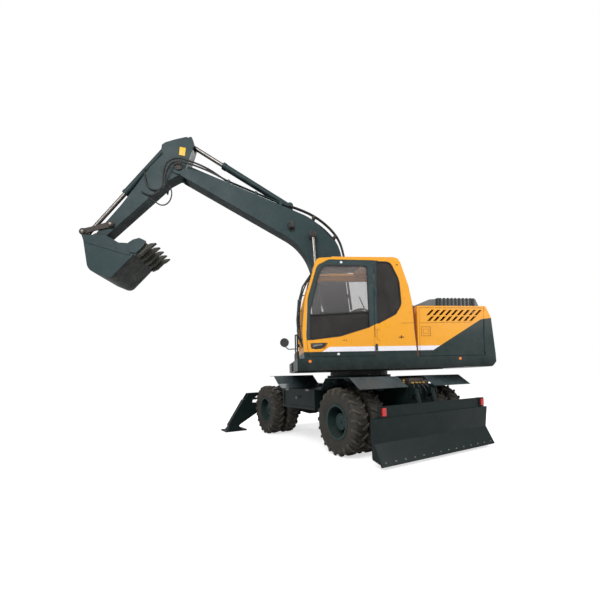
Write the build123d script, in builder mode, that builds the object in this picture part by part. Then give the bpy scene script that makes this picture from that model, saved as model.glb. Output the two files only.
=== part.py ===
"""Wheeled excavator: undercarriage on twin tyres, slewing upper with cab, boom, arm and bucket.

Millimetres, +Z up.  The origin is on the ground under the slewing axis, +X points along the
undercarriage towards the steered axle and the outriggers, and +Y points to its left.
The upper structure is drawn facing +X and then turned by SWING about the slewing axis.
"""

from build123d import *
from math import atan2, cos, degrees, hypot, radians, sin
import os

os.makedirs("parts", exist_ok=True)

# ---------------------------------------------------------------- undercarriage sizes
REAR_AXLE_X = -950
WHEELBASE = 2800
FRONT_AXLE_X = REAR_AXLE_X + WHEELBASE
OVERALL_WIDTH = 2500
TYRE_R = 535
TYRE_WIDTH = 275
TWIN_GAP = 70
RIM_R = 285
HUB_R = 150
FRAME_HALF_WIDTH = 300
FRAME_BOTTOM_Z = 640
FRAME_TOP_Z = 1090
FRAME_FRONT_X = 2900
FRAME_REAR_X = -1560
FRAME_PLATE = 20
REAR_NOTCH_Z = 760
FRONT_NOTCH_Z = 840
AXLE_PAD_LENGTH = 300
AXLE_PAD_Y = 240
AXLE_TUBE_R = 95
DIFF_R = 200
DIFF_HALF = 90
TRUNNION_X = 150
TRUNNION_Z = 745
TRUNNION_PIN_R = 40
TRUNNION_LUG_R = 75
BELLY_X = 350
BELLY_LENGTH = 560
PEDESTAL_DEPTH = 30
KNUCKLE_HALF = 115
KNUCKLE_R = 85
KINGPIN_R = 38
SPINDLE_R = 60
PROP_SHAFT_R = 45
HUB_CAP_R = 131
BEAD_HALF = 97
BEAD_R = 256
BARREL_R = 242
FLANGE_T = 12
MUDGUARD_T = 8
TOOLBOX_REAR_X = -365
TOOLBOX_FRONT_X = 859
TOOLBOX_BOTTOM_Z = 675
TOOLBOX_TOP_Z = 1030
TOOLBOX_WALL = 6
TOOLBOX_BORDER = 45
TOOLBOX_BORDER_DEPTH = 14
RUNNING_GAP = 0.5
ROD_GAP = 0.5
LUG_GAP = 3
SEAT_GAP = 0.3

OUTER_TYRE_Y = OVERALL_WIDTH / 2 - TYRE_WIDTH / 2
INNER_TYRE_Y = OUTER_TYRE_Y - TYRE_WIDTH - TWIN_GAP
OUTER_DISC_Y = OUTER_TYRE_Y - 180.5
INNER_DISC_Y = INNER_TYRE_Y + 109.5
HUB_END_Y = OUTER_TYRE_Y + 22.5
SPINDLE_END_Y = OUTER_DISC_Y - 32
HUB_FACE_Y = INNER_TYRE_Y - 105.5
KINGPIN_Y = HUB_FACE_Y - 102
FORK_Y = KINGPIN_Y - 130

# ---------------------------------------------------------------- upper structure sizes
SWING = 66.1
RING_R = 560
PEDESTAL_R = 620
RING_TOP_Z = 1260
DECK_BOTTOM_Z = 1330
DECK_TOP_Z = 1540
DECK_FRONT_X = 1300
DECK_REAR_X = -1500
DECK_HALF_WIDTH = 1245
TAIL_X = -2110
TAIL_RADIUS = 2420
HOOD_TOP_Z = 2376
SKIRT_LAMP_X = (1100, -1440)
SKIRT_LAMP_Z = 1492
SKIRT_LAMP_R = 24
HINGE_R = 12
DOOR_HINGE_Y = DECK_HALF_WIDTH
CAB_FRONT_X = 1200
CAB_REAR_X = -640
CAB_INNER_Y = 270
CAB_ROOF_Z = 3150
CAB_WALL = 45
DOOR_REAR_X = 37

# ---------------------------------------------------------------- boom, arm and bucket sizes
BOOM_Y = -90
BOOM_FOOT_X = 250
BOOM_FOOT_Z = 1900
BOOM_LENGTH = 4440
BOOM_ANGLE = 46.9
BOOM_HALF_WIDTH = 150
ARM_LENGTH = 1940
ARM_ANGLE = -44.1
ARM_HALF_WIDTH = 125
BUCKET_ANGLE = 188.7
BUCKET_HALF_WIDTH = 460
TIP_RADIUS = 1072
PLATE = 12

BOOM_RAM_BASE = (745, 1500)
BOOM_RAM_EYE = (1909, 948)
BOOM_RAM_Y = 250
BOOM_RAM_BORE = 60
BOOM_RAM_PIN = 35
BOOM_RAM_EYE_WIDTH = 88
ARM_RAM_BORE = 60
ARM_RAM_PIN = 35
BUCKET_RAM_BORE = 54
BUCKET_RAM_PIN = 32
LINK_INNER_Y = 55
LUG_INNER_Y = ARM_HALF_WIDTH + 9
ARM_RAM_BASE = (2638, 1075)
ARM_RAM_EYE = (-484, 216)
BUCKET_RAM_BASE = (-143, 460)
IDLER_PIN = (ARM_LENGTH - 339, 24)
FRONT_PIN = (ARM_LENGTH + 91, 235)
LINK_PIN = (-75, 305)

# ---------------------------------------------------------------- blade and outrigger sizes
BLADE_PIVOT = (-1440, 560)
BLADE_HALF_WIDTH = OVERALL_WIDTH / 2
BLADE_RAM_BASE = (-1640, 990)
BLADE_RAM_EYE = (-1780, 480)
BLADE_RAM_Y = 180
BLADE_PIN_R = 35
BLADE_RAM_PIN = 22
LAMP_RAIL_HALF = 1140
LAMP_RAIL_TOP_Z = 828
OUTRIGGER_X = 2800
OUTRIGGER_HALF = 80
OUTRIGGER_PIVOT = (480, 560)
OUTRIGGER_RAM_BASE = (330, 760)
OUTRIGGER_RAM_EYE = (1245, 735)
OUTRIGGER_RAM_EYE_WIDTH = 126
OUTRIGGER_PIN_R = 40
OUTRIGGER_RAM_PIN = 28
OUTRIGGER_BOX_HALF = 130
OUTRIGGER_BOX_BOTTOM_Z = 490
OUTRIGGER_BOX_TOP_Z = 970
PAD_Y = 1650
PAD_LENGTH = 500
PAD_WIDTH = 420
PAD_T = 30
PAD_BOTTOM_Z = 6
TIE_LUG_Y = 200
TIE_LUG_Z = 760
TIE_LUG_REACH = 100
TIE_LUG_T = 40
TIE_LUG_HOLE_R = 30


# ---------------------------------------------------------------- helpers
def turned(point, angle, about=(0, 0)):
    """A point of the XZ plane turned by angle from +X towards +Z, then moved to about."""
    c = cos(radians(angle))
    s = sin(radians(angle))
    return (about[0] + point[0] * c - point[1] * s, about[1] + point[0] * s + point[1] * c)


def keep(piece, name, place=Location()):
    """Label a finished piece, stand it in its place and write its STEP file."""
    placed = piece.part.moved(place)
    placed.label = name
    export_step(placed, f"parts/{name}.step")


def side_plane(y):
    """The XZ plane at y, drawn with X forward and Z up and extruded towards +Y."""
    return Plane(origin=(0, y, 0), x_dir=(1, 0, 0), z_dir=(0, -1, 0))


UPPER = Location((0, 0, 0), (0, 0, SWING))
BOOM = UPPER * Location((BOOM_FOOT_X, BOOM_Y, BOOM_FOOT_Z), (0, -BOOM_ANGLE, 0))
BOOM_TIP = turned((BOOM_LENGTH, 0), BOOM_ANGLE, (BOOM_FOOT_X, BOOM_FOOT_Z))
ARM = UPPER * Location((BOOM_TIP[0], BOOM_Y, BOOM_TIP[1]), (0, -ARM_ANGLE, 0))
ARM_TIP = turned((ARM_LENGTH, 0), ARM_ANGLE, BOOM_TIP)
BUCKET = UPPER * Location((ARM_TIP[0], BOOM_Y, ARM_TIP[1]), (0, -BUCKET_ANGLE, 0))


def ram(names, base, eye, place, bore, rod, pin, tube, eye_width, offsets, retract=0.0, extend=0.0):
    """A hydraulic cylinder from base to eye in the XZ plane of place: its barrel, then its rod.

    bore, rod and pin are radii, tube is the barrel's length from the base pin, offsets are the
    sideways places of like cylinders, and retract and extend are the travel each way from rest.
    """
    length = hypot(eye[0] - base[0], eye[1] - base[1])
    slant = degrees(atan2(eye[1] - base[1], eye[0] - base[0]))
    spot = place * Location((base[0], 0, base[1]), (0, -slant, 0))
    gland = 1.6 * rod
    wall = 0.16 * bore
    eye_r = 1.7 * pin
    rod_start = tube - gland - extend - rod
    with BuildPart() as barrel:
        for y in offsets:
            with BuildSketch(side_plane(y)):
                Circle(eye_r)
            extrude(amount=eye_width / 2, both=True)
            with BuildSketch(Plane.YZ.offset(eye_r * 0.5)):
                with Locations((y, 0)):
                    Circle(bore)
            extrude(amount=tube - gland - eye_r * 0.5)
            with BuildSketch(Plane.YZ.offset(tube - gland)):
                with Locations((y, 0)):
                    Circle(bore * 1.12)
            extrude(amount=gland)
        for y in offsets:
            with BuildSketch(Plane.YZ.offset(eye_r + wall)):
                with Locations((y, 0)):
                    Circle(bore - wall)
            extrude(amount=tube - gland - eye_r - wall, mode=Mode.SUBTRACT)
            with BuildSketch(Plane.YZ.offset(tube - gland - wall)):
                with Locations((y, 0)):
                    Circle(rod + ROD_GAP)
            extrude(amount=gland + 2 * wall, mode=Mode.SUBTRACT)
            with BuildSketch(side_plane(y)):
                Circle(pin + RUNNING_GAP)
            extrude(amount=eye_width, both=True, mode=Mode.SUBTRACT)
    with BuildPart() as shaft:
        for y in offsets:
            with BuildSketch(Plane.YZ.offset(rod_start)):
                with Locations((y, 0)):
                    Circle(rod)
            extrude(amount=length - rod_start)
            with BuildSketch(side_plane(y)):
                with Locations((length, 0)):
                    Circle(eye_r)
            extrude(amount=eye_width / 2, both=True)
    keep(barrel, names[0], spot)
    keep(shaft, names[1], spot)


# ---------------------------------------------------------------- chassis
FRAME_LINE = (
    # x, z of the frame's side, from the lower rear corner round to the upper one
    (FRAME_REAR_X, FRAME_BOTTOM_Z),
    (REAR_AXLE_X - AXLE_PAD_LENGTH, FRAME_BOTTOM_Z),
    (REAR_AXLE_X - AXLE_PAD_LENGTH / 2, REAR_NOTCH_Z),
    (REAR_AXLE_X + AXLE_PAD_LENGTH / 2, REAR_NOTCH_Z),
    (REAR_AXLE_X + AXLE_PAD_LENGTH, FRAME_BOTTOM_Z),
    (FRONT_AXLE_X - 850, FRAME_BOTTOM_Z),
    (FRONT_AXLE_X - 500, FRONT_NOTCH_Z),
    (FRONT_AXLE_X + 500, FRONT_NOTCH_Z),
    (OUTRIGGER_X - OUTRIGGER_BOX_HALF, FRAME_BOTTOM_Z),
    (FRAME_FRONT_X, FRAME_BOTTOM_Z),
    (FRAME_FRONT_X, OUTRIGGER_BOX_TOP_Z),
    (OUTRIGGER_X - OUTRIGGER_BOX_HALF - 60, OUTRIGGER_BOX_TOP_Z),
    (FRONT_AXLE_X + 350, FRAME_TOP_Z),
    (FRAME_REAR_X, FRAME_TOP_Z),
)
with BuildPart() as chassis:
    with BuildSketch(side_plane(0)):
        with BuildLine():
            Polyline(*FRAME_LINE, close=True)
        make_face()
    extrude(amount=FRAME_HALF_WIDTH, both=True)
    # the girder box is open below, behind the outrigger box
    with BuildSketch(Plane.XY.offset(BLADE_PIVOT[1] - 100)):
        with Locations(((FRAME_REAR_X + OUTRIGGER_X - OUTRIGGER_BOX_HALF) / 2, 0)):
            Rectangle(
                OUTRIGGER_X - OUTRIGGER_BOX_HALF - FRAME_REAR_X - 2 * FRAME_PLATE,
                2 * FRAME_HALF_WIDTH - 2 * FRAME_PLATE,
            )
    extrude(amount=OUTRIGGER_BOX_TOP_Z - FRAME_PLATE - BLADE_PIVOT[1] + 100, mode=Mode.SUBTRACT)
    # cross plates over the axles, the belly plate and the ring pedestal
    for x, z, length in (
        (REAR_AXLE_X, REAR_NOTCH_Z, AXLE_PAD_LENGTH),
        (FRONT_AXLE_X, FRONT_NOTCH_Z, 2 * TRUNNION_X + 80),
        (BELLY_X, FRAME_BOTTOM_Z, BELLY_LENGTH),
    ):
        with BuildSketch(Plane.XY.offset(z)):
            with Locations((x, 0)):
                Rectangle(length, 2 * FRAME_HALF_WIDTH)
        extrude(amount=FRAME_PLATE)
    with BuildSketch(Plane.XY.offset(FRAME_TOP_Z - PEDESTAL_DEPTH)):
        RegularPolygon(radius=PEDESTAL_R + 30, side_count=8, rotation=22.5)
    extrude(amount=PEDESTAL_DEPTH)
    with BuildSketch(Plane.XY.offset(FRAME_TOP_Z)):
        Circle(PEDESTAL_R)
    extrude(amount=RING_TOP_Z - FRAME_TOP_Z)
    with BuildSketch(Plane.XY.offset(FRAME_BOTTOM_Z)):
        Circle(PEDESTAL_R - 160)
    extrude(amount=RING_TOP_Z - FRAME_BOTTOM_Z - FRAME_PLATE, mode=Mode.SUBTRACT)
    # trunnion brackets and pin that the front axle rocks on
    for end in (-1, 1):
        with BuildSketch(Plane.YZ.offset(FRONT_AXLE_X + end * TRUNNION_X - 20)):
            with BuildLine():
                Polyline(
                    (-170, FRONT_NOTCH_Z + FRAME_PLATE),
                    (-80, TRUNNION_Z - 60),
                    (80, TRUNNION_Z - 60),
                    (170, FRONT_NOTCH_Z + FRAME_PLATE),
                    close=True,
                )
            make_face()
        extrude(amount=40)
    with BuildSketch(Plane.YZ.offset(FRONT_AXLE_X - TRUNNION_X - 30)):
        with Locations((0, TRUNNION_Z)):
            Circle(TRUNNION_PIN_R)
    extrude(amount=2 * TRUNNION_X + 60)
    # outrigger box with a bay for each leg
    with BuildSketch(Plane.YZ.offset(OUTRIGGER_X - OUTRIGGER_BOX_HALF)):
        with Locations((0, (OUTRIGGER_BOX_BOTTOM_Z + OUTRIGGER_BOX_TOP_Z) / 2)):
            Rectangle(2 * OUTRIGGER_PIVOT[0] + 200, OUTRIGGER_BOX_TOP_Z - OUTRIGGER_BOX_BOTTOM_Z)
    extrude(amount=2 * OUTRIGGER_BOX_HALF)
    with BuildSketch(Plane.YZ.offset(OUTRIGGER_X - OUTRIGGER_HALF - 5)):
        with Locations((OUTRIGGER_PIVOT[0], OUTRIGGER_PIVOT[1]), (-OUTRIGGER_PIVOT[0], OUTRIGGER_PIVOT[1])):
            Rectangle(480, 1200)
    extrude(amount=2 * OUTRIGGER_HALF + 10, mode=Mode.SUBTRACT)
    with BuildSketch(Plane.XY.offset(OUTRIGGER_BOX_BOTTOM_Z)):
        with Locations((OUTRIGGER_X, 0)):
            Rectangle(2 * OUTRIGGER_BOX_HALF - 2 * FRAME_PLATE, 2 * OUTRIGGER_PIVOT[0] - 480 - 2 * FRAME_PLATE)
    extrude(amount=OUTRIGGER_BOX_TOP_Z - OUTRIGGER_BOX_BOTTOM_Z - FRAME_PLATE, mode=Mode.SUBTRACT)
    for side in (1, -1):
        with BuildSketch(Plane.YZ.offset(OUTRIGGER_X - OUTRIGGER_BOX_HALF)):
            with Locations((side * OUTRIGGER_PIVOT[0], OUTRIGGER_PIVOT[1])):
                Circle(OUTRIGGER_PIN_R)
            with Locations((side * OUTRIGGER_RAM_BASE[0], OUTRIGGER_RAM_BASE[1])):
                Circle(OUTRIGGER_RAM_PIN)
        extrude(amount=2 * OUTRIGGER_BOX_HALF)
    for y in (TIE_LUG_Y, -TIE_LUG_Y):
        with BuildSketch(side_plane(y)):
            with Locations((FRAME_FRONT_X, TIE_LUG_Z)):
                SlotCenterToCenter(2 * TIE_LUG_REACH, 110)
            with Locations((FRAME_FRONT_X + TIE_LUG_REACH, TIE_LUG_Z)):
                Circle(TIE_LUG_HOLE_R, mode=Mode.SUBTRACT)
        extrude(amount=TIE_LUG_T / 2, both=True)
    # blade ram lugs and blade arm brackets on the rear cross plate
    for y in (BLADE_RAM_Y, -BLADE_RAM_Y):
        for lug in (-55, 55):
            with BuildSketch(side_plane(y + lug)):
                with BuildLine():
                    Polyline(
                        (FRAME_REAR_X, BLADE_RAM_BASE[1] - 90),
                        (BLADE_RAM_BASE[0] - 45, BLADE_RAM_BASE[1] - 45),
                        (BLADE_RAM_BASE[0] - 45, BLADE_RAM_BASE[1] + 45),
                        (FRAME_REAR_X, BLADE_RAM_BASE[1] + 90),
                        close=True,
                    )
                make_face()
            extrude(amount=12, both=True)
        with BuildSketch(side_plane(y)):
            with Locations(BLADE_RAM_BASE):
                Circle(BLADE_RAM_PIN)
        extrude(amount=60, both=True)
    for side in (1, -1):
        with BuildSketch(side_plane(side * (FRAME_HALF_WIDTH - 20))):
            with BuildLine():
                Polyline(
                    (FRAME_REAR_X, FRAME_BOTTOM_Z + 40),
                    (BLADE_PIVOT[0] - 60, BLADE_PIVOT[1] - 60),
                    (BLADE_PIVOT[0] + 60, BLADE_PIVOT[1] - 60),
                    (FRAME_REAR_X + 300, FRAME_BOTTOM_Z + 120),
                    (FRAME_REAR_X, FRAME_BOTTOM_Z + 120),
                    close=True,
                )
            make_face()
        extrude(amount=20, both=True)
        with BuildSketch(side_plane(side * (FRAME_HALF_WIDTH + 35))):
            with Locations(BLADE_PIVOT):
                Circle(BLADE_PIN_R)
        extrude(amount=40, both=True)
keep(chassis, "chassis")

# ---------------------------------------------------------------- axles
SHAFT_Z = TYRE_R
with BuildPart() as rear_axle:
    axle_plane = Plane(origin=(REAR_AXLE_X, 0, TYRE_R), x_dir=(0, 1, 0), z_dir=(1, 0, 0))
    with BuildSketch(axle_plane):
        with BuildLine():
            Polyline(
                (-HUB_FACE_Y + RUNNING_GAP, 0),
                (-HUB_FACE_Y + RUNNING_GAP, HUB_R - 20),
                (-HUB_FACE_Y + 60, AXLE_TUBE_R),
                (-330, AXLE_TUBE_R + 15),
                (-DIFF_HALF, DIFF_R),
                (DIFF_HALF, DIFF_R),
                (330, AXLE_TUBE_R + 15),
                (HUB_FACE_Y - 60, AXLE_TUBE_R),
                (HUB_FACE_Y - RUNNING_GAP, HUB_R - 20),
                (HUB_FACE_Y - RUNNING_GAP, 0),
                close=True,
            )
        make_face()
    revolve(axis=Axis((REAR_AXLE_X, 0, TYRE_R), (0, 1, 0)))
    for side in (1, -1):
        with BuildSketch(side_plane(side * (HUB_FACE_Y - 30))):
            with Locations((REAR_AXLE_X, TYRE_R)):
                Circle(SPINDLE_R)
        extrude(amount=-side * (SPINDLE_END_Y - HUB_FACE_Y + 30))
        with BuildSketch(side_plane(side * AXLE_PAD_Y)):
            with Locations((REAR_AXLE_X, (TYRE_R + REAR_NOTCH_Z) / 2)):
                Rectangle(AXLE_PAD_LENGTH - 80, REAR_NOTCH_Z - TYRE_R - 2 * SEAT_GAP)
        extrude(amount=45, both=True)
    with BuildSketch(Plane.YZ.offset(REAR_AXLE_X)):
        with Locations((0, SHAFT_Z)):
            Circle(90)
    extrude(amount=DIFF_R + 90)
keep(rear_axle, "rear_axle")

with BuildPart() as front_axle:
    axle_plane = Plane(origin=(FRONT_AXLE_X, 0, TYRE_R), x_dir=(0, 1, 0), z_dir=(1, 0, 0))
    with BuildSketch(axle_plane):
        with BuildLine():
            Polyline(
                (-FORK_Y, 0),
                (-FORK_Y, AXLE_TUBE_R),
                (-330, AXLE_TUBE_R + 5),
                (-DIFF_HALF, DIFF_R - 20),
                (DIFF_HALF, DIFF_R - 20),
                (330, AXLE_TUBE_R + 5),
                (FORK_Y, AXLE_TUBE_R),
                (FORK_Y, 0),
                close=True,
            )
        make_face()
    revolve(axis=Axis((FRONT_AXLE_X, 0, TYRE_R), (0, 1, 0)))
    for side in (1, -1):
        # the fork that holds the steering knuckle above and below
        with BuildSketch(Plane.YZ.offset(FRONT_AXLE_X - 90)):
            with BuildLine():
                Polyline(
                    (side * (FORK_Y - 60), TYRE_R - KNUCKLE_HALF - 50),
                    (side * (KINGPIN_Y + 60), TYRE_R - KNUCKLE_HALF - 50),
                    (side * (KINGPIN_Y + 60), TYRE_R - KNUCKLE_HALF - RUNNING_GAP),
                    (side * FORK_Y, TYRE_R - KNUCKLE_HALF - RUNNING_GAP),
                    (side * FORK_Y, TYRE_R + KNUCKLE_HALF + RUNNING_GAP),
                    (side * (KINGPIN_Y + 60), TYRE_R + KNUCKLE_HALF + RUNNING_GAP),
                    (side * (KINGPIN_Y + 60), TYRE_R + KNUCKLE_HALF + 50),
                    (side * (FORK_Y - 60), TYRE_R + KNUCKLE_HALF + 50),
                    close=True,
                )
            make_face()
        extrude(amount=180)
        with BuildSketch(Plane.XY.offset(TYRE_R - KNUCKLE_HALF - 60)):
            with Locations((FRONT_AXLE_X, side * KINGPIN_Y)):
                Circle(KINGPIN_R + 0.05)
        extrude(amount=2 * KNUCKLE_HALF + 120, mode=Mode.SUBTRACT)
    # rocking lug on the trunnion pin, pinion nose and steering ram along the beam
    with BuildSketch(Plane.YZ.offset(FRONT_AXLE_X - TRUNNION_X + 20 + RUNNING_GAP)):
        with Locations((0, (TYRE_R + TRUNNION_Z) / 2)):
            Rectangle(2 * TRUNNION_LUG_R, TRUNNION_Z - TYRE_R)
        with Locations((0, TRUNNION_Z)):
            Circle(TRUNNION_LUG_R)
    extrude(amount=2 * (TRUNNION_X - 20 - RUNNING_GAP))
    with BuildSketch(Plane.YZ.offset(FRONT_AXLE_X - TRUNNION_X)):
        with Locations((0, TRUNNION_Z)):
            Circle(TRUNNION_PIN_R + 0.05)
    extrude(amount=2 * TRUNNION_X, mode=Mode.SUBTRACT)
    with BuildSketch(Plane.YZ.offset(FRONT_AXLE_X)):
        with Locations((0, SHAFT_Z)):
            Circle(80)
    extrude(amount=-DIFF_R - 70)
    with BuildSketch(side_plane(0)):
        with Locations((FRONT_AXLE_X + 150, TYRE_R)):
            Circle(45)
        with Locations((FRONT_AXLE_X + 100, TYRE_R)):
            Rectangle(100, 50)
    extrude(amount=260, both=True)
keep(front_axle, "front_axle")

for side, name in ((1, "left"), (-1, "right")):
    with BuildPart() as knuckle:
        with BuildSketch(Plane.XY.offset(TYRE_R - KNUCKLE_HALF)):
            with Locations((FRONT_AXLE_X, side * KINGPIN_Y)):
                Circle(KNUCKLE_R)
        extrude(amount=2 * KNUCKLE_HALF)
        with BuildSketch(Plane.XY.offset(TYRE_R - KNUCKLE_HALF - 50)):
            with Locations((FRONT_AXLE_X, side * KINGPIN_Y)):
                Circle(KINGPIN_R)
        extrude(amount=2 * KNUCKLE_HALF + 100)
        with BuildSketch(side_plane(side * KINGPIN_Y)):
            with Locations((FRONT_AXLE_X, TYRE_R)):
                Circle(KNUCKLE_HALF - 10)
        extrude(amount=-side * (HUB_FACE_Y - RUNNING_GAP - KINGPIN_Y))
        with BuildSketch(side_plane(side * (KINGPIN_Y + 65))):
            with Locations((FRONT_AXLE_X, TYRE_R)):
                Circle(KNUCKLE_HALF - 4)
        extrude(amount=-side * (HUB_FACE_Y - RUNNING_GAP - KINGPIN_Y - 65))
        with BuildSketch(side_plane(side * KINGPIN_Y)):
            with Locations((FRONT_AXLE_X, TYRE_R)):
                Circle(SPINDLE_R)
        extrude(amount=-side * (SPINDLE_END_Y - KINGPIN_Y))
    keep(knuckle, f"knuckle_{name}")

# ---------------------------------------------------------------- gearbox and propeller shafts
with BuildPart() as transmission:
    with BuildSketch(Plane.XY.offset(SHAFT_Z - 75)):
        with Locations((BELLY_X, 0)):
            Rectangle(BELLY_LENGTH - 160, 300)
    extrude(amount=FRAME_BOTTOM_Z - SEAT_GAP - SHAFT_Z + 75)
    with BuildSketch(Plane.YZ.offset(REAR_AXLE_X + DIFF_R + 90 + SEAT_GAP)):
        with Locations((0, SHAFT_Z)):
            Circle(PROP_SHAFT_R)
    extrude(amount=FRONT_AXLE_X - REAR_AXLE_X - 2 * DIFF_R - 160 - 2 * SEAT_GAP)
keep(transmission, "transmission")

# ---------------------------------------------------------------- wheels
WHEELS = (
    # name, axle x, side
    ("rear_left", REAR_AXLE_X, 1),
    ("rear_right", REAR_AXLE_X, -1),
    ("front_left", FRONT_AXLE_X, 1),
    ("front_right", FRONT_AXLE_X, -1),
)
TYRE_SECTION = (
    # offset from the tyre's middle, radius
    (-BEAD_HALF, RIM_R + 10),
    (-TYRE_WIDTH / 2, (RIM_R + TYRE_R) / 2),
    (-TYRE_WIDTH / 2 + 16, TYRE_R - 30),
    (-TYRE_WIDTH / 2 + 45, TYRE_R),
    (TYRE_WIDTH / 2 - 45, TYRE_R),
    (TYRE_WIDTH / 2 - 16, TYRE_R - 30),
    (TYRE_WIDTH / 2, (RIM_R + TYRE_R) / 2),
    (BEAD_HALF, RIM_R + 10),
)
TYRE_SIDES = 36
for name, x, side in WHEELS:
    with BuildPart() as tyres:
        for y in (OUTER_TYRE_Y, INNER_TYRE_Y):
            for offset_y, radius in TYRE_SECTION:
                with BuildSketch(side_plane(side * y + offset_y)):
                    with Locations((x, TYRE_R)):
                        RegularPolygon(radius=radius, side_count=TYRE_SIDES)
            loft(ruled=True)
            with BuildSketch(side_plane(side * y)):
                with Locations((x, TYRE_R)):
                    RegularPolygon(radius=BEAD_R, side_count=TYRE_SIDES, major_radius=False)
            extrude(amount=TYRE_WIDTH, both=True, mode=Mode.SUBTRACT)
    keep(tyres, f"tyres_{name}")
    with BuildPart() as rims:
        # the double rim inside the beads, with a flange at each end
        for near, far, radius in (
            (INNER_TYRE_Y - BEAD_HALF - FLANGE_T, OUTER_TYRE_Y + BEAD_HALF + FLANGE_T, BEAD_R - SEAT_GAP),
            (INNER_TYRE_Y - BEAD_HALF - FLANGE_T, INNER_TYRE_Y - BEAD_HALF - SEAT_GAP, RIM_R),
            (OUTER_TYRE_Y + BEAD_HALF + SEAT_GAP, OUTER_TYRE_Y + BEAD_HALF + FLANGE_T, RIM_R),
        ):
            with BuildSketch(side_plane(side * near)):
                with Locations((x, TYRE_R)):
                    RegularPolygon(radius=radius, side_count=TYRE_SIDES, major_radius=False)
            extrude(amount=-side * (far - near))
        # the wells that stay open on both sides of the disc
        for near, far, radius in (
            (INNER_TYRE_Y - BEAD_HALF - FLANGE_T, INNER_DISC_Y, BARREL_R),
            (OUTER_DISC_Y, OUTER_TYRE_Y + BEAD_HALF + FLANGE_T, BARREL_R),
        ):
            with BuildSketch(side_plane(side * near)):
                with Locations((x, TYRE_R)):
                    RegularPolygon(radius=radius, side_count=TYRE_SIDES, major_radius=False)
            extrude(amount=-side * (far - near), mode=Mode.SUBTRACT)
        for near, far, radius in (
            (HUB_FACE_Y, INNER_DISC_Y + 5, HUB_R),
            (OUTER_DISC_Y - 5, OUTER_DISC_Y + 40, HUB_R + 30),
            (OUTER_DISC_Y, HUB_END_Y, HUB_CAP_R),
        ):
            with BuildSketch(side_plane(side * near)):
                with Locations((x, TYRE_R)):
                    Circle(radius)
            extrude(amount=-side * (far - near))
        with BuildSketch(side_plane(side * (HUB_FACE_Y - 1))):
            with Locations((x, TYRE_R)):
                Circle(SPINDLE_R + RUNNING_GAP)
        extrude(amount=-side * (SPINDLE_END_Y + RUNNING_GAP - HUB_FACE_Y + 1), mode=Mode.SUBTRACT)
    keep(rims, f"wheel_{name}")

# ---------------------------------------------------------------- mudguards and toolboxes
REAR_GUARD = (
    # x, z of the sheet over the rear wheels, from its front edge back and down
    (-420, TOOLBOX_TOP_Z + 8),
    (-560, TOOLBOX_TOP_Z + 8),
    (-720, 1222),
    (-1360, 1222),
    (-1600, 1055),
)
FRONT_GUARD = (
    # x, z of the sheet over the front wheels, from its front edge back and down
    (1480, 1284),
    (1275, 1284),
    (1070, 1118),
    (900, TOOLBOX_TOP_Z + 8),
    (800, TOOLBOX_TOP_Z + 8),
)
with BuildPart() as mudguards:
    for side in (1, -1):
        middle = side * (OVERALL_WIDTH / 2 + FRAME_HALF_WIDTH + SEAT_GAP) / 2
        half = (OVERALL_WIDTH / 2 - FRAME_HALF_WIDTH - SEAT_GAP) / 2
        for line in (REAR_GUARD, FRONT_GUARD):
            with BuildSketch(side_plane(middle)):
                with BuildLine():
                    sheet = Polyline(*line)
                    offset(sheet, amount=MUDGUARD_T, side=Side.LEFT)
                make_face()
            extrude(amount=half, both=True)
        # gusset from the frame's side up to each sheet
        for x, low, high in ((-1050, 980, 1222), (1290, 1000, 1284)):
            with BuildSketch(Plane.YZ.offset(x)):
                with BuildLine():
                    Polyline(
                        (side * (FRAME_HALF_WIDTH + SEAT_GAP), low),
                        (side * (FRAME_HALF_WIDTH + SEAT_GAP), high + 2),
                        (side * (OVERALL_WIDTH / 2 - 150), high + 2),
                        (side * (OVERALL_WIDTH / 2 - 150), high - 40),
                        (side * (FRAME_HALF_WIDTH + 80), low),
                        close=True,
                    )
                make_face()
            extrude(amount=12)
keep(mudguards, "mudguards")

for side, name in ((1, "left"), (-1, "right")):
    box_middle = side * (OVERALL_WIDTH / 2 + FRAME_HALF_WIDTH + SEAT_GAP) / 2
    box_depth = OVERALL_WIDTH / 2 - FRAME_HALF_WIDTH - SEAT_GAP
    box_centre_x = (TOOLBOX_REAR_X + TOOLBOX_FRONT_X) / 2
    box_length = TOOLBOX_FRONT_X - TOOLBOX_REAR_X
    box_height = TOOLBOX_TOP_Z - TOOLBOX_BOTTOM_Z
    box_centre_z = (TOOLBOX_TOP_Z + TOOLBOX_BOTTOM_Z) / 2
    with BuildPart() as toolbox:
        with BuildSketch(side_plane(box_middle)):
            with Locations((box_centre_x, box_centre_z)):
                Rectangle(box_length, box_height)
        extrude(amount=box_depth / 2, both=True)
        # the room inside, closed by the frame's side
        with BuildSketch(side_plane(box_middle - side * (TOOLBOX_BORDER_DEPTH + TOOLBOX_WALL))):
            with Locations((box_centre_x, box_centre_z)):
                Rectangle(box_length - 2 * TOOLBOX_WALL, box_height - 2 * TOOLBOX_WALL)
        extrude(amount=box_depth / 2, both=True, mode=Mode.SUBTRACT)
        # the raised border round the lid
        with BuildSketch(side_plane(side * OVERALL_WIDTH / 2)):
            with Locations((box_centre_x, box_centre_z)):
                Rectangle(box_length - 2 * TOOLBOX_BORDER, box_height - 2 * TOOLBOX_BORDER)
        extrude(amount=TOOLBOX_BORDER_DEPTH, both=True, mode=Mode.SUBTRACT)
        with BuildSketch(side_plane(side * (OVERALL_WIDTH / 2 - TOOLBOX_BORDER_DEPTH / 2))):
            with Locations((box_centre_x - 60, box_centre_z + 40)):
                Circle(22)
        extrude(amount=TOOLBOX_BORDER_DEPTH / 2, both=True)
    keep(toolbox, f"toolbox_{name}")

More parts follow.
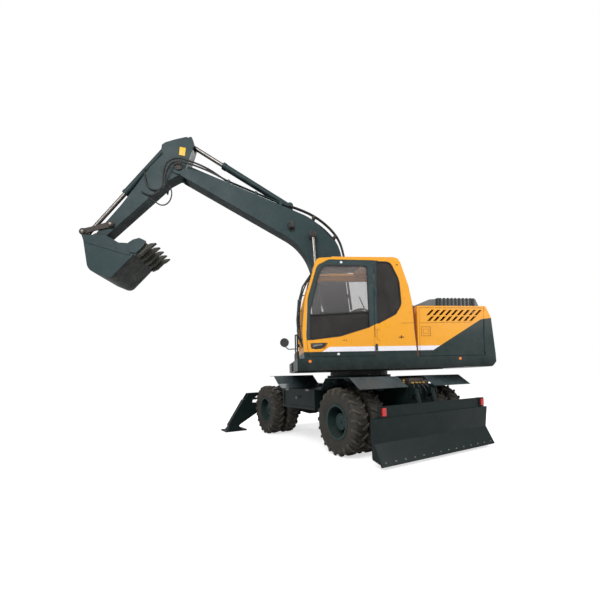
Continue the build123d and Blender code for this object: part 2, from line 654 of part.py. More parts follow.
# ---------------------------------------------------------------- blade
BLADE_LINE = (
    # x, z of the blade's section, down its outer face and up its back
    (-1903, 669),
    (-1873, 335),
    (-2030, 58),
    (-2005, 45),
    (-1850, 300),
    (-1850, 669),
)
with BuildPart() as blade:
    with BuildSketch(side_plane(0)):
        with BuildLine():
            Polyline(*BLADE_LINE, close=True)
        make_face()
    extrude(amount=BLADE_HALF_WIDTH, both=True)
    # end plates that close the blade's back
    for side in (1, -1):
        with BuildSketch(side_plane(side * (BLADE_HALF_WIDTH - 10))):
            with BuildLine():
                FilletPolyline(
                    (-1903, 669),
                    (-1873, 335),
                    (-2020, 70),
                    (-1825, 120),
                    (-1800, 669),
                    radius=25,
                    close=True,
                )
            make_face()
        extrude(amount=10, both=True)
    with BuildSketch(side_plane(0)):
        with BuildLine():
            Polyline((-1800, 669), (-1800, 640), (-1860, 640), (-1860, 669), close=True)
        make_face()
    extrude(amount=BLADE_HALF_WIDTH - 10, both=True)
    for side in (1, -1):
        # room for the rams when the blade is raised
        with BuildSketch(Plane.XY.offset(635)):
            with Locations((-1820, side * BLADE_RAM_Y)):
                Rectangle(60, 110)
        extrude(amount=40, mode=Mode.SUBTRACT)
    # lamp rail along the top
    with BuildSketch(side_plane(0)):
        with BuildLine():
            Polyline((-1888, 660), (-1888, LAMP_RAIL_TOP_Z), (-1868, LAMP_RAIL_TOP_Z), (-1855, 660), close=True)
        make_face()
    extrude(amount=LAMP_RAIL_HALF, both=True)
    for side in (1, -1):
        with BuildSketch(side_plane(side * (LAMP_RAIL_HALF - 45))):
            with Locations((-1850, LAMP_RAIL_TOP_Z - 78)):
                Rectangle(60, 150)
        extrude(amount=45, both=True)
        with BuildSketch(side_plane(side * (FRAME_HALF_WIDTH + 35))):
            with BuildLine():
                Polyline(
                    (BLADE_PIVOT[0], BLADE_PIVOT[1] - 70),
                    (-1860, 330),
                    (-1860, 600),
                    (BLADE_PIVOT[0], BLADE_PIVOT[1] + 70),
                    close=True,
                )
            make_face()
            with Locations(BLADE_PIVOT):
                Circle(70)
                Circle(BLADE_PIN_R + RUNNING_GAP, mode=Mode.SUBTRACT)
        extrude(amount=25, both=True)
        for lug in (-55, 55):
            with BuildSketch(side_plane(side * BLADE_RAM_Y + lug)):
                with Locations(BLADE_RAM_EYE):
                    Circle(40)
                with Locations(((BLADE_RAM_EYE[0] - 1855) / 2, BLADE_RAM_EYE[1])):
                    Rectangle(BLADE_RAM_EYE[0] + 1855, 80)
            extrude(amount=12, both=True)
keep(blade, "blade")

ram(
    ("blade_ram_barrels", "blade_ram_rods"),
    BLADE_RAM_BASE,
    BLADE_RAM_EYE,
    Location(),
    bore=42,
    rod=22,
    pin=BLADE_RAM_PIN,
    tube=330,
    eye_width=80,
    offsets=(BLADE_RAM_Y, -BLADE_RAM_Y),
    retract=160,
    extend=65,
)

with BuildPart() as blade_lamps:
    for side in (1, -1):
        with BuildSketch(Plane.YZ.offset(-1888 - SEAT_GAP)):
            with Locations((side * (LAMP_RAIL_HALF - 40), LAMP_RAIL_TOP_Z - 75)):
                RectangleRounded(70, 110, 12)
        extrude(amount=-35)
keep(blade_lamps, "blade_lamps")

# ---------------------------------------------------------------- outriggers
LEG_LINE = (
    # distance from the machine's middle, z, round the leg's side
    (OUTRIGGER_PIVOT[0], OUTRIGGER_PIVOT[1] - 85),
    (1100, 381),
    (1500, 150),
    (1560, 96),
    (1780, 96),
    (1795, 150),
    (1424, 724),
    (1370, 745),
    (1300, 680),
    (1130, 640),
    (OUTRIGGER_PIVOT[0], OUTRIGGER_PIVOT[1] + 85),
)
for side, name in ((1, "left"), (-1, "right")):
    facing = Location((OUTRIGGER_X, 0, 0), (0, 0, 90 * side))
    with BuildPart() as leg:
        with BuildSketch(side_plane(0)):
            with BuildLine():
                Polyline(*LEG_LINE, close=True)
            make_face()
            with Locations(OUTRIGGER_PIVOT):
                Circle(85)
                Circle(OUTRIGGER_PIN_R + RUNNING_GAP, mode=Mode.SUBTRACT)
        extrude(amount=OUTRIGGER_HALF, both=True)
        # room below the ram's eye when the leg is right down
        with BuildSketch(side_plane(0)):
            with BuildLine():
                Polyline((1185, 640), (1320, 640), (1320, 800), (1185, 800), close=True)
            make_face()
        extrude(amount=OUTRIGGER_RAM_EYE_WIDTH / 2 + LUG_GAP, both=True, mode=Mode.SUBTRACT)
        for lug in (-1, 1):
            # ears for the ram's eye, and the guard over the ram
            with BuildSketch(side_plane(lug * (OUTRIGGER_RAM_EYE_WIDTH / 2 + ROD_GAP + 14))):
                with Locations(OUTRIGGER_RAM_EYE):
                    Circle(50)
                with BuildLine():
                    Polyline(
                        (1200, 650),
                        (1180, 740),
                        (1005, 860),
                        (1005, 890),
                        (1290, 884),
                        (1400, 720),
                        (1330, 640),
                        close=True,
                    )
                make_face()
            extrude(amount=14, both=True)
        with BuildSketch(side_plane(0)):
            with BuildLine():
                Polyline((1005, 876), (1005, 890), (1290, 884), (1290, 870), close=True)
            make_face()
        extrude(amount=OUTRIGGER_RAM_EYE_WIDTH / 2 + 10, both=True)
        # foot pad on a flared ankle
        with BuildSketch(Plane.XY.offset(PAD_BOTTOM_Z)):
            with Locations((PAD_Y, 0)):
                Rectangle(PAD_LENGTH, PAD_WIDTH)
        extrude(amount=PAD_T)
        with BuildSketch(Plane.XY.offset(PAD_BOTTOM_Z + PAD_T)):
            with Locations((PAD_Y, 0)):
                Rectangle(PAD_LENGTH - 140, PAD_WIDTH - 160)
        with BuildSketch(Plane.XY.offset(PAD_BOTTOM_Z + PAD_T + 90)):
            with Locations((PAD_Y + 20, 0)):
                Rectangle(PAD_LENGTH - 290, 2 * OUTRIGGER_HALF)
        loft()
    keep(leg, f"outrigger_{name}", facing)
    ram(
        (f"outrigger_barrel_{name}", f"outrigger_rod_{name}"),
        OUTRIGGER_RAM_BASE,
        OUTRIGGER_RAM_EYE,
        facing,
        bore=50,
        rod=27,
        pin=OUTRIGGER_RAM_PIN,
        tube=510,
        eye_width=OUTRIGGER_RAM_EYE_WIDTH,
        offsets=(0,),
        retract=350,
        extend=30,
    )

# ---------------------------------------------------------------- upper: deck
DECK_PLATE = 20
SKIRT_T = 25
SKIRT_BOTTOM_Z = 1345
BRACKET_T = 35
BOOM_SLOT_HALF = 345
BOOM_SLOT_X = 400
BOOM_SLOT_Z = DECK_BOTTOM_Z + 30
GIRDER_HALF = BOOM_HALF_WIDTH + RUNNING_GAP + BRACKET_T
BOOM_PIN_R = 48
with BuildPart() as deck:
    with BuildSketch(Plane.XY.offset(SKIRT_BOTTOM_Z)):
        with Locations(((DECK_FRONT_X + DECK_REAR_X) / 2, 0)):
            Rectangle(DECK_FRONT_X - DECK_REAR_X, 2 * DECK_HALF_WIDTH)
    extrude(amount=DECK_TOP_Z - SKIRT_BOTTOM_Z)
    # bays below the deck plate, inside the skirt
    with BuildSketch(Plane.XY.offset(SKIRT_BOTTOM_Z)):
        with Locations(((DECK_FRONT_X + DECK_REAR_X) / 2, 0)):
            Rectangle(DECK_FRONT_X - DECK_REAR_X - 2 * SKIRT_T, 2 * DECK_HALF_WIDTH - 2 * SKIRT_T)
    extrude(amount=DECK_TOP_Z - DECK_PLATE - SKIRT_BOTTOM_Z, mode=Mode.SUBTRACT)
    # bottom plate over the ring, and the ring itself
    with BuildSketch(Plane.XY.offset(DECK_BOTTOM_Z)):
        with Locations(((DECK_FRONT_X + DECK_REAR_X) / 2, BOOM_Y)):
            Rectangle(DECK_FRONT_X - DECK_REAR_X, 2 * RING_R + 120)
    extrude(amount=DECK_PLATE)
    with BuildSketch(Plane.XY.offset(RING_TOP_Z + ROD_GAP)):
        Circle(RING_R)
        Circle(RING_R - 130, mode=Mode.SUBTRACT)
    extrude(amount=DECK_BOTTOM_Z - RING_TOP_Z - ROD_GAP)
    # two girders that carry the boom foot and run back to the counterweight
    for side in (1, -1):
        with BuildSketch(side_plane(BOOM_Y + side * (GIRDER_HALF - BRACKET_T / 2))):
            with BuildLine():
                Polyline(
                    (DECK_REAR_X, DECK_BOTTOM_Z),
                    (DECK_FRONT_X, DECK_BOTTOM_Z),
                    (DECK_FRONT_X, BOOM_SLOT_Z + 60),
                    (BOOM_FOOT_X + 330, BOOM_SLOT_Z + 150),
                    (BOOM_FOOT_X + 150, BOOM_FOOT_Z + 90),
                    (BOOM_FOOT_X - 130, BOOM_FOOT_Z + 120),
                    (BOOM_FOOT_X - 650, DECK_TOP_Z),
                    (DECK_REAR_X, DECK_TOP_Z),
                    close=True,
                )
            make_face()
        extrude(amount=BRACKET_T / 2, both=True)
    # the boom and its cylinders stand in a bay that is open above and in front
    with BuildSketch(Plane.XY.offset(BOOM_SLOT_Z)):
        with Locations(((BOOM_SLOT_X + DECK_FRONT_X) / 2 + 20, BOOM_Y)):
            Rectangle(DECK_FRONT_X - BOOM_SLOT_X + 40, 2 * (GIRDER_HALF - BRACKET_T))
        for side in (1, -1):
            with Locations(
                (
                    (BOOM_SLOT_X + DECK_FRONT_X) / 2 + 20,
                    BOOM_Y + side * (GIRDER_HALF + BOOM_SLOT_HALF) / 2,
                )
            ):
                Rectangle(DECK_FRONT_X - BOOM_SLOT_X + 40, BOOM_SLOT_HALF - GIRDER_HALF)
    extrude(amount=DECK_TOP_Z - BOOM_SLOT_Z + 1, mode=Mode.SUBTRACT)
    with BuildSketch(Plane.XY.offset(BOOM_SLOT_Z)):
        with Locations((BOOM_FOOT_X, BOOM_Y)):
            Rectangle(700, 2 * (GIRDER_HALF - BRACKET_T))
    extrude(amount=DECK_TOP_Z - BOOM_SLOT_Z + 1, mode=Mode.SUBTRACT)
    with BuildSketch(Plane.XY.offset(DECK_BOTTOM_Z)):
        for side in (1, -1):
            with Locations(
                (
                    (BOOM_SLOT_X + DECK_FRONT_X) / 2 + 20,
                    BOOM_Y + side * (BOOM_SLOT_HALF + DECK_PLATE / 2),
                )
            ):
                Rectangle(DECK_FRONT_X - BOOM_SLOT_X - 40, DECK_PLATE)
    extrude(amount=DECK_TOP_Z - DECK_BOTTOM_Z)
    with BuildSketch(side_plane(BOOM_Y)):
        with Locations((BOOM_FOOT_X, BOOM_FOOT_Z)):
            Circle(BOOM_PIN_R)
    extrude(amount=GIRDER_HALF + 12, both=True)
    # lugs and pins of the two boom cylinders
    for side in (1, -1):
        for lug in (-1, 1):
            with BuildSketch(side_plane(BOOM_Y + side * BOOM_RAM_Y + lug * (BOOM_RAM_BORE + LUG_GAP + 10))):
                with BuildLine():
                    Polyline(
                        (BOOM_RAM_BASE[0] - 150, DECK_BOTTOM_Z + 10),
                        (BOOM_RAM_BASE[0] + 150, DECK_BOTTOM_Z + 10),
                        (BOOM_RAM_BASE[0] + 60, BOOM_RAM_BASE[1] + 30),
                        (BOOM_RAM_BASE[0] + 25, BOOM_RAM_BASE[1] + 62),
                        (BOOM_RAM_BASE[0] - 25, BOOM_RAM_BASE[1] + 62),
                        (BOOM_RAM_BASE[0] - 60, BOOM_RAM_BASE[1] + 30),
                        close=True,
                    )
                make_face()
            extrude(amount=10, both=True)
        with BuildSketch(side_plane(BOOM_Y + side * BOOM_RAM_Y)):
            with Locations(BOOM_RAM_BASE):
                Circle(BOOM_RAM_PIN)
        extrude(amount=BOOM_RAM_BORE + 30, both=True)
    # orange marker lamps are let into the skirt near both ends
    for x in SKIRT_LAMP_X:
        with BuildSketch(side_plane(0)):
            with Locations((x, SKIRT_LAMP_Z)):
                RegularPolygon(radius=SKIRT_LAMP_R + SEAT_GAP, side_count=16)
        extrude(amount=DECK_HALF_WIDTH + 10, both=True, mode=Mode.SUBTRACT)
keep(deck, "deck", UPPER)

with BuildPart() as skirt_lamps:
    for side in (1, -1):
        for x in SKIRT_LAMP_X:
            with BuildSketch(side_plane(side * (DECK_HALF_WIDTH - SKIRT_T / 2))):
                with Locations((x, SKIRT_LAMP_Z)):
                    RegularPolygon(radius=SKIRT_LAMP_R, side_count=16)
            extrude(amount=SKIRT_T / 2 + 6, both=True)
keep(skirt_lamps, "skirt_lamps", UPPER)

# ---------------------------------------------------------------- upper: counterweight, engine, hood
TAIL_LINE = (
    # distance behind the slewing axis, z, down the counterweight's back
    (2280, HOOD_TOP_Z),
    (2303, HOOD_TOP_Z - 20),
    (2378, 2176),
    (2440, 1557),
    (2447, 1430),
    (2400, 1365),
)
CW_FRONT_X = DECK_REAR_X - 400
CW_WALL = 230
CW_BOTTOM_Z = 1350
with BuildPart() as counterweight:
    with BuildSketch(Plane.XZ):
        with BuildLine():
            Polyline((900, HOOD_TOP_Z), *TAIL_LINE, (2380, CW_BOTTOM_Z), (900, CW_BOTTOM_Z), close=True)
        make_face()
    revolve(axis=Axis.Z, revolution_arc=360)
    with BuildSketch(Plane.XY.offset(CW_BOTTOM_Z)):
        with Locations((DECK_REAR_X - 1000 - SEAT_GAP, 0)):
            Rectangle(2000, 2 * DECK_HALF_WIDTH)
    extrude(amount=HOOD_TOP_Z - CW_BOTTOM_Z, mode=Mode.INTERSECT)
    # room in front of the cast block for the hood's doors and the cooler
    with BuildSketch(Plane.XY.offset(DECK_TOP_Z)):
        with Locations((CW_FRONT_X + 500, 0)):
            Rectangle(1000, 3000)
        with Locations((CW_FRONT_X, 0)):
            Rectangle(2 * CW_WALL, 2 * DECK_HALF_WIDTH - 2 * CW_WALL)
    extrude(amount=HOOD_TOP_Z, mode=Mode.SUBTRACT)
    # grooves for the side doors' hinges
    for side in (1, -1):
        with BuildSketch(Plane.XY.offset(DECK_TOP_Z)):
            with Locations((CW_FRONT_X + 6, side * DOOR_HINGE_Y)):
                Circle(HINGE_R + ROD_GAP)
        extrude(amount=HOOD_TOP_Z, mode=Mode.SUBTRACT)
keep(counterweight, "counterweight", UPPER)

with BuildPart() as engine:
    with BuildSketch(Plane.XY.offset(DECK_TOP_Z)):
        with Locations((-1380, 0)):
            Rectangle(900, 800)
    extrude(amount=640)
keep(engine, "engine", UPPER)

PANEL = 30
HOOD_FRONT_X = -700
LID_FRONT_X = -966
LID_REAR_X = -2210
LID_HALF_WIDTH = 610
LID_T = 20
LID_HINGE_X = LID_FRONT_X + HINGE_R - 5
LID_HINGE_Z = HOOD_TOP_Z + HINGE_R
SIDE_DOOR_HINGE_X = CW_FRONT_X + 6
with BuildPart() as hood:
    with BuildSketch(Plane.XY.offset(HOOD_TOP_Z - PANEL)):
        with Locations(((HOOD_FRONT_X + CW_FRONT_X) / 2, 0)):
            Rectangle(HOOD_FRONT_X - CW_FRONT_X - 2 * SEAT_GAP, 2 * DECK_HALF_WIDTH)
        with Locations(((LID_FRONT_X - 60 + CW_FRONT_X) / 2 - 20, 0)):
            Rectangle(LID_FRONT_X - 60 - CW_FRONT_X - 100, 2 * LID_HALF_WIDTH - 120, mode=Mode.SUBTRACT)
    extrude(amount=PANEL)
    with BuildSketch(Plane.XY.offset(DECK_TOP_Z)):
        with Locations((HOOD_FRONT_X - PANEL / 2 - SEAT_GAP, 0)):
            Rectangle(PANEL, 2 * DECK_HALF_WIDTH)
    extrude(amount=HOOD_TOP_Z - PANEL / 2 - DECK_TOP_Z)
    # cradle in front of the lid's hinge
    with BuildSketch(side_plane(0)):
        with BuildLine():
            Polyline(
                (LID_HINGE_X + HINGE_R + 14, HOOD_TOP_Z - 5),
                (LID_HINGE_X + HINGE_R + 14, LID_HINGE_Z + HINGE_R / 2),
                (LID_HINGE_X, LID_HINGE_Z + HINGE_R / 2),
                (LID_HINGE_X, HOOD_TOP_Z - 5),
                close=True,
            )
        make_face()
    extrude(amount=LID_HALF_WIDTH - 100, both=True)
    with BuildSketch(side_plane(0)):
        with Locations((LID_HINGE_X, LID_HINGE_Z)):
            Circle(HINGE_R + ROD_GAP)
    extrude(amount=LID_HALF_WIDTH, both=True, mode=Mode.SUBTRACT)
keep(hood, "hood", UPPER)

LID_LINE = (
    # x, z over the raised cover, from its hinge to its tail
    (LID_FRONT_X, HOOD_TOP_Z + 148),
    (-1224, HOOD_TOP_Z + 251),
    (-1383, HOOD_TOP_Z + 264),
    (-2151, HOOD_TOP_Z + 264),
    (LID_REAR_X, HOOD_TOP_Z + 144),
)
LID_FOOT_Z = HOOD_TOP_Z + SEAT_GAP
RIB_COUNT = 9
RIB_PITCH = 76
RIB_T = 34
RIB_PROUD = 14
with BuildPart() as engine_lid:
    for grow, half in ((0, LID_HALF_WIDTH),):
        with BuildSketch(side_plane(0)):
            with BuildLine():
                Polyline((LID_FRONT_X, LID_FOOT_Z), *LID_LINE, (LID_REAR_X, LID_FOOT_Z), close=True)
            make_face()
        extrude(amount=half, both=True)
    # raised ribs of the grille, wrapped over the top and down both sides
    for n in range(RIB_COUNT):
        with BuildSketch(Plane.YZ.offset(-1442 - n * RIB_PITCH)):
            with Locations((0, (LID_FOOT_Z + LID_LINE[2][1] + RIB_PROUD) / 2 + 25)):
                Rectangle(2 * LID_HALF_WIDTH + 2 * RIB_PROUD, LID_LINE[2][1] + RIB_PROUD - LID_FOOT_Z - 50)
        extrude(amount=RIB_T / 2, both=True)
    with BuildSketch(side_plane(0)):
        with BuildLine():
            Polyline(
                (LID_FRONT_X - LID_T, LID_FOOT_Z - 1),
                *[
                    (x + (LID_T if x < -2000 else -LID_T if x > -1000 else 0), z - LID_T)
                    for x, z in LID_LINE
                ],
                (LID_REAR_X + LID_T, LID_FOOT_Z - 1),
                close=True,
            )
        make_face()
    extrude(amount=LID_HALF_WIDTH - LID_T, both=True, mode=Mode.SUBTRACT)
    with BuildSketch(side_plane(0)):
        with Locations((LID_HINGE_X, LID_HINGE_Z)):
            Circle(HINGE_R)
    extrude(amount=LID_HALF_WIDTH - 100, both=True)
keep(engine_lid, "engine_lid", UPPER)

LOUVRES = (
    # x of the first slot, z of the row's foot, slot height, number of slots
    (-856, 2218, 92, 9),
    (-870, 2124, 76, 8),
)
LOUVRE_PITCH = 108
LOUVRE_W = 52
DOOR_FRONT_X = HOOD_FRONT_X - PANEL - 6
for side, name in ((1, "left"), (-1, "right")):
    with BuildPart() as side_door:
        with BuildSketch(side_plane(side * (DECK_HALF_WIDTH - PANEL / 2))):
            with BuildLine():
                Polyline(
                    (DOOR_FRONT_X, DECK_TOP_Z + 6),
                    (DOOR_FRONT_X, HOOD_TOP_Z - PANEL - 6),
                    (CW_FRONT_X + 12, HOOD_TOP_Z - PANEL - 6),
                    (CW_FRONT_X + 12, DECK_TOP_Z + 6),
                    close=True,
                )
            make_face()
            for first_x, foot_z, height, count in LOUVRES:
                for n in range(count):
                    x = first_x - n * LOUVRE_PITCH
                    with BuildLine():
                        Polyline(
                            (x, foot_z),
                            (x - LOUVRE_W, foot_z),
                            (x - LOUVRE_W - height, foot_z + height),
                            (x - height, foot_z + height),
                            close=True,
                        )
                    make_face(mode=Mode.SUBTRACT)
        extrude(amount=PANEL / 2, both=True)
        with BuildSketch(Plane.XY.offset(DECK_TOP_Z + 60)):
            with Locations((SIDE_DOOR_HINGE_X, side * DOOR_HINGE_Y)):
                Circle(HINGE_R)
        extrude(amount=HOOD_TOP_Z - PANEL - DECK_TOP_Z - 120)
    keep(side_door, f"side_door_{name}", UPPER)

TANK_FRONT_X = 395
with BuildPart() as tank:
    with BuildSketch(Plane.XY.offset(DECK_TOP_Z)):
        with Locations(((HOOD_FRONT_X + TANK_FRONT_X) / 2, -835)):
            RectangleRounded(TANK_FRONT_X - HOOD_FRONT_X, 820, 40)
    extrude(amount=HOOD_TOP_Z - DECK_TOP_Z - 60)
    with BuildSketch(Plane.XY.offset(HOOD_TOP_Z - 60)):
        with Locations((150, -835), (-420, -835)):
            RegularPolygon(radius=75, side_count=16)
    extrude(amount=45)
keep(tank, "tank", UPPER)

with BuildPart() as steps:
    with BuildSketch(side_plane(-835)):
        with BuildLine():
            Polyline(
                (TANK_FRONT_X + SEAT_GAP, DECK_TOP_Z),
                (TANK_FRONT_X + SEAT_GAP, 2010),
                (760, 2010),
                (760, 1780),
                (1180, 1780),
                (1180, DECK_TOP_Z),
                close=True,
            )
        make_face()
    extrude(amount=410, both=True)
keep(steps, "steps", UPPER)

# ---------------------------------------------------------------- upper: cab
CAB_OUTER_Y = DECK_HALF_WIDTH
CAB_MID_Y = (CAB_INNER_Y + CAB_OUTER_Y) / 2
CAB_HALF_Y = (CAB_OUTER_Y - CAB_INNER_Y) / 2
CAB_FLOOR_Z = DECK_TOP_Z + SEAT_GAP
DOOR_GAP = 6
GLASS_T = 6
WINDOW_BORDER = 70
CAB_LINE = (
    # x, z, corner radius, round the cab's side from the lower rear corner
    (-694, CAB_FLOOR_Z, 0),
    (1186, CAB_FLOOR_Z, 0),
    (CAB_FRONT_X + 8, 1980, 300),
    (1160, 2440, 900),
    (960, CAB_ROOF_Z - 25, 110),
    (504, CAB_ROOF_Z + 5, 0),
    (-400, CAB_ROOF_Z + 20, 140),
    (-560, 2700, 500),
    (-640, 2300, 0),
)
DOOR_LINE = (
    # x, z, corner radius, round the door opening from its lower rear corner
    (DOOR_REAR_X, 1560, 12),
    (1120, 1560, 40),
    (1150, 1900, 200),
    (1115, 2480, 600),
    (950, 3010, 120),
    (760, CAB_ROOF_Z - 42, 100),
    (DOOR_REAR_X, CAB_ROOF_Z - 40, 12),
)
DOOR_WINDOW = (
    # x, z, corner radius, round the door's glass from its lower rear corner
    (118, 2030, 20),
    (600, 1888, 600),
    (1090, 1832, 20),
    (1075, 2300, 400),
    (925, 2880, 200),
    (850, 3012, 90),
    (139, 3018, 60),
)
QUARTER_WINDOW = (
    # x, z, corner radius, round the glass behind the door from its lower front corner
    (-20, 2085, 12),
    (-20, 3085, 12),
    (-250, 3085, 120),
    (-395, 2800, 400),
    (-425, 2400, 160),
    (-330, 2240, 100),
)
SCREEN_BOTTOM_Z = 1720
SCREEN_TOP_Z = 3030
REAR_WINDOW_Z = 2430
ROOF_WINDOW = (150, 800)
RIGHT_WINDOW = (
    # x, z, corner radius, round the glass on the boom's side
    (-430, 2420, 60),
    (-330, 1980, 60),
    (1080, 1980, 60),
    (1050, 2500, 400),
    (900, 3010, 90),
    (-300, 3030, 90),
)
with BuildPart() as cab:
    for inset, half_y, mode in (
        (0, CAB_HALF_Y, Mode.ADD),
        (CAB_WALL, CAB_HALF_Y - CAB_WALL, Mode.SUBTRACT),
    ):
        with BuildSketch(side_plane(CAB_MID_Y)) as profile:
            with BuildLine():
                Polyline([(x, z) for x, z, r in CAB_LINE], close=True)
            make_face()
            for x, z, r in CAB_LINE:
                if r:
                    fillet(profile.vertices().sort_by_distance((x, z))[0], r)
            if inset:
                offset(amount=-inset, mode=Mode.REPLACE)
        extrude(amount=half_y, both=True, mode=mode)
    for outline, y in ((DOOR_LINE, CAB_OUTER_Y), (QUARTER_WINDOW, CAB_OUTER_Y), (RIGHT_WINDOW, CAB_INNER_Y)):
        with BuildSketch(side_plane(y)) as opening:
            with BuildLine():
                Polyline([(x, z) for x, z, r in outline], close=True)
            make_face()
            for x, z, r in outline:
                fillet(opening.vertices().sort_by_distance((x, z))[0], r)
        extrude(amount=CAB_WALL * 1.5, both=True, mode=Mode.SUBTRACT)
    # windscreen, rear window and roof window
    with BuildSketch(side_plane(CAB_MID_Y)):
        with Locations((1000, (SCREEN_BOTTOM_Z + SCREEN_TOP_Z) / 2)):
            Rectangle(600, SCREEN_TOP_Z - SCREEN_BOTTOM_Z)
        with Locations((-560, (REAR_WINDOW_Z + 2990) / 2)):
            Rectangle(400, 2990 - REAR_WINDOW_Z)
        with Locations(((ROOF_WINDOW[0] + ROOF_WINDOW[1]) / 2, CAB_ROOF_Z)):
            Rectangle(ROOF_WINDOW[1] - ROOF_WINDOW[0], 150)
    extrude(amount=CAB_HALF_Y - WINDOW_BORDER, both=True, mode=Mode.SUBTRACT)
    with BuildSketch(Plane.XY.offset(CAB_FLOOR_Z + 10)):
        with Locations((DOOR_REAR_X, DOOR_HINGE_Y)):
            Circle(HINGE_R + ROD_GAP)
    extrude(amount=CAB_ROOF_Z - CAB_FLOOR_Z - 60, mode=Mode.SUBTRACT)
keep(cab, "cab", UPPER)

with BuildPart() as cab_door:
    with BuildSketch(side_plane(CAB_OUTER_Y - CAB_WALL / 2)) as profile:
        with BuildLine():
            Polyline([(x, z) for x, z, r in DOOR_LINE], close=True)
        make_face()
        for x, z, r in DOOR_LINE:
            fillet(profile.vertices().sort_by_distance((x, z))[0], r)
        offset(amount=-DOOR_GAP, mode=Mode.REPLACE)
    extrude(amount=CAB_WALL / 2, both=True)
    with BuildSketch(side_plane(CAB_OUTER_Y - CAB_WALL / 2)) as opening:
        with BuildLine():
            Polyline([(x, z) for x, z, r in DOOR_WINDOW], close=True)
        make_face()
        for x, z, r in DOOR_WINDOW:
            fillet(opening.vertices().sort_by_distance((x, z))[0], r)
    extrude(amount=CAB_WALL, both=True, mode=Mode.SUBTRACT)
    # handle recess and hinge barrels
    with BuildSketch(side_plane(CAB_OUTER_Y)):
        with BuildLine():
            Polyline((1075, 1690), (840, 1690), (810, 1780), (1085, 1780), close=True)
        make_face()
    extrude(amount=22, both=True, mode=Mode.SUBTRACT)
    for z in (1730, 2760):
        with BuildSketch(Plane.XY.offset(z)):
            with Locations((DOOR_REAR_X, DOOR_HINGE_Y)):
                Circle(HINGE_R)
        extrude(amount=130)
keep(cab_door, "cab_door", UPPER)

with BuildPart() as door_glass:
    with BuildSketch(side_plane(CAB_OUTER_Y - CAB_WALL / 2)) as profile:
        with BuildLine():
            Polyline([(x, z) for x, z, r in DOOR_WINDOW], close=True)
        make_face()
        for x, z, r in DOOR_WINDOW:
            fillet(profile.vertices().sort_by_distance((x, z))[0], r)
        offset(amount=-SEAT_GAP, mode=Mode.REPLACE)
    extrude(amount=GLASS_T / 2, both=True)
keep(door_glass, "door_glass", UPPER)

with BuildPart() as cab_glass:
    # a sheet that follows the cab's outline, kept only where there is a window
    for inset, mode in ((18, Mode.ADD), (18 + GLASS_T, Mode.SUBTRACT)):
        with BuildSketch(side_plane(CAB_MID_Y)) as profile:
            with BuildLine():
                Polyline([(x, z) for x, z, r in CAB_LINE], close=True)
            make_face()
            for x, z, r in CAB_LINE:
                if r:
                    fillet(profile.vertices().sort_by_distance((x, z))[0], r)
            offset(amount=-inset, mode=Mode.REPLACE)
        extrude(amount=CAB_HALF_Y - WINDOW_BORDER - SEAT_GAP, both=True, mode=mode)
    with BuildSketch(side_plane(CAB_MID_Y)):
        with Locations((1000, (SCREEN_BOTTOM_Z + SCREEN_TOP_Z) / 2)):
            Rectangle(600, SCREEN_TOP_Z - SCREEN_BOTTOM_Z - 2 * SEAT_GAP)
        with Locations((-560, (REAR_WINDOW_Z + 2990) / 2)):
            Rectangle(400, 2990 - REAR_WINDOW_Z - 2 * SEAT_GAP)
        with Locations(((ROOF_WINDOW[0] + ROOF_WINDOW[1]) / 2, CAB_ROOF_Z)):
            Rectangle(ROOF_WINDOW[1] - ROOF_WINDOW[0] - 2 * SEAT_GAP, 150)
    extrude(amount=CAB_HALF_Y, both=True, mode=Mode.INTERSECT)
    for outline, y in ((QUARTER_WINDOW, CAB_OUTER_Y - 12), (RIGHT_WINDOW, CAB_INNER_Y + 12)):
        with BuildSketch(side_plane(y)) as opening:
            with BuildLine():
                Polyline([(x, z) for x, z, r in outline], close=True)
            make_face()
            for x, z, r in outline:
                fillet(opening.vertices().sort_by_distance((x, z))[0], r)
            offset(amount=-SEAT_GAP, mode=Mode.REPLACE)
        extrude(amount=GLASS_T / 2, both=True)
keep(cab_glass, "cab_glass", UPPER)

SEAT_FLOOR_Z = CAB_FLOOR_Z + CAB_WALL + SEAT_GAP
with BuildPart() as seat:
    with BuildSketch(side_plane(CAB_MID_Y)):
        with BuildLine():
            FilletPolyline(
                (-120, 1930),
                (330, 1960),
                (350, 2080),
                (-30, 2060),
                (-110, 2560),
                (-230, 2550),
                (-150, 2050),
                radius=20,
                close=True,
            )
        make_face()
    extrude(amount=250, both=True)
    with BuildSketch(side_plane(CAB_MID_Y)):
        with BuildLine():
            Polyline((-110, 2540), (-160, 2800), (-250, 2790), (-210, 2540), close=True)
        make_face()
    extrude(amount=150, both=True)
    with BuildSketch(Plane.XY.offset(SEAT_FLOOR_Z)):
        with Locations((90, CAB_MID_Y)):
            Rectangle(360, 380)
    extrude(amount=1950 - SEAT_FLOOR_Z)
    for side in (1, -1):
        with BuildSketch(side_plane(CAB_MID_Y + side * 310)):
            with BuildLine():
                Polyline((-60, 1980), (430, 2020), (430, 2190), (340, 2200), (-60, 2150), close=True)
            make_face()
        extrude(amount=60, both=True)
keep(seat, "seat", UPPER)

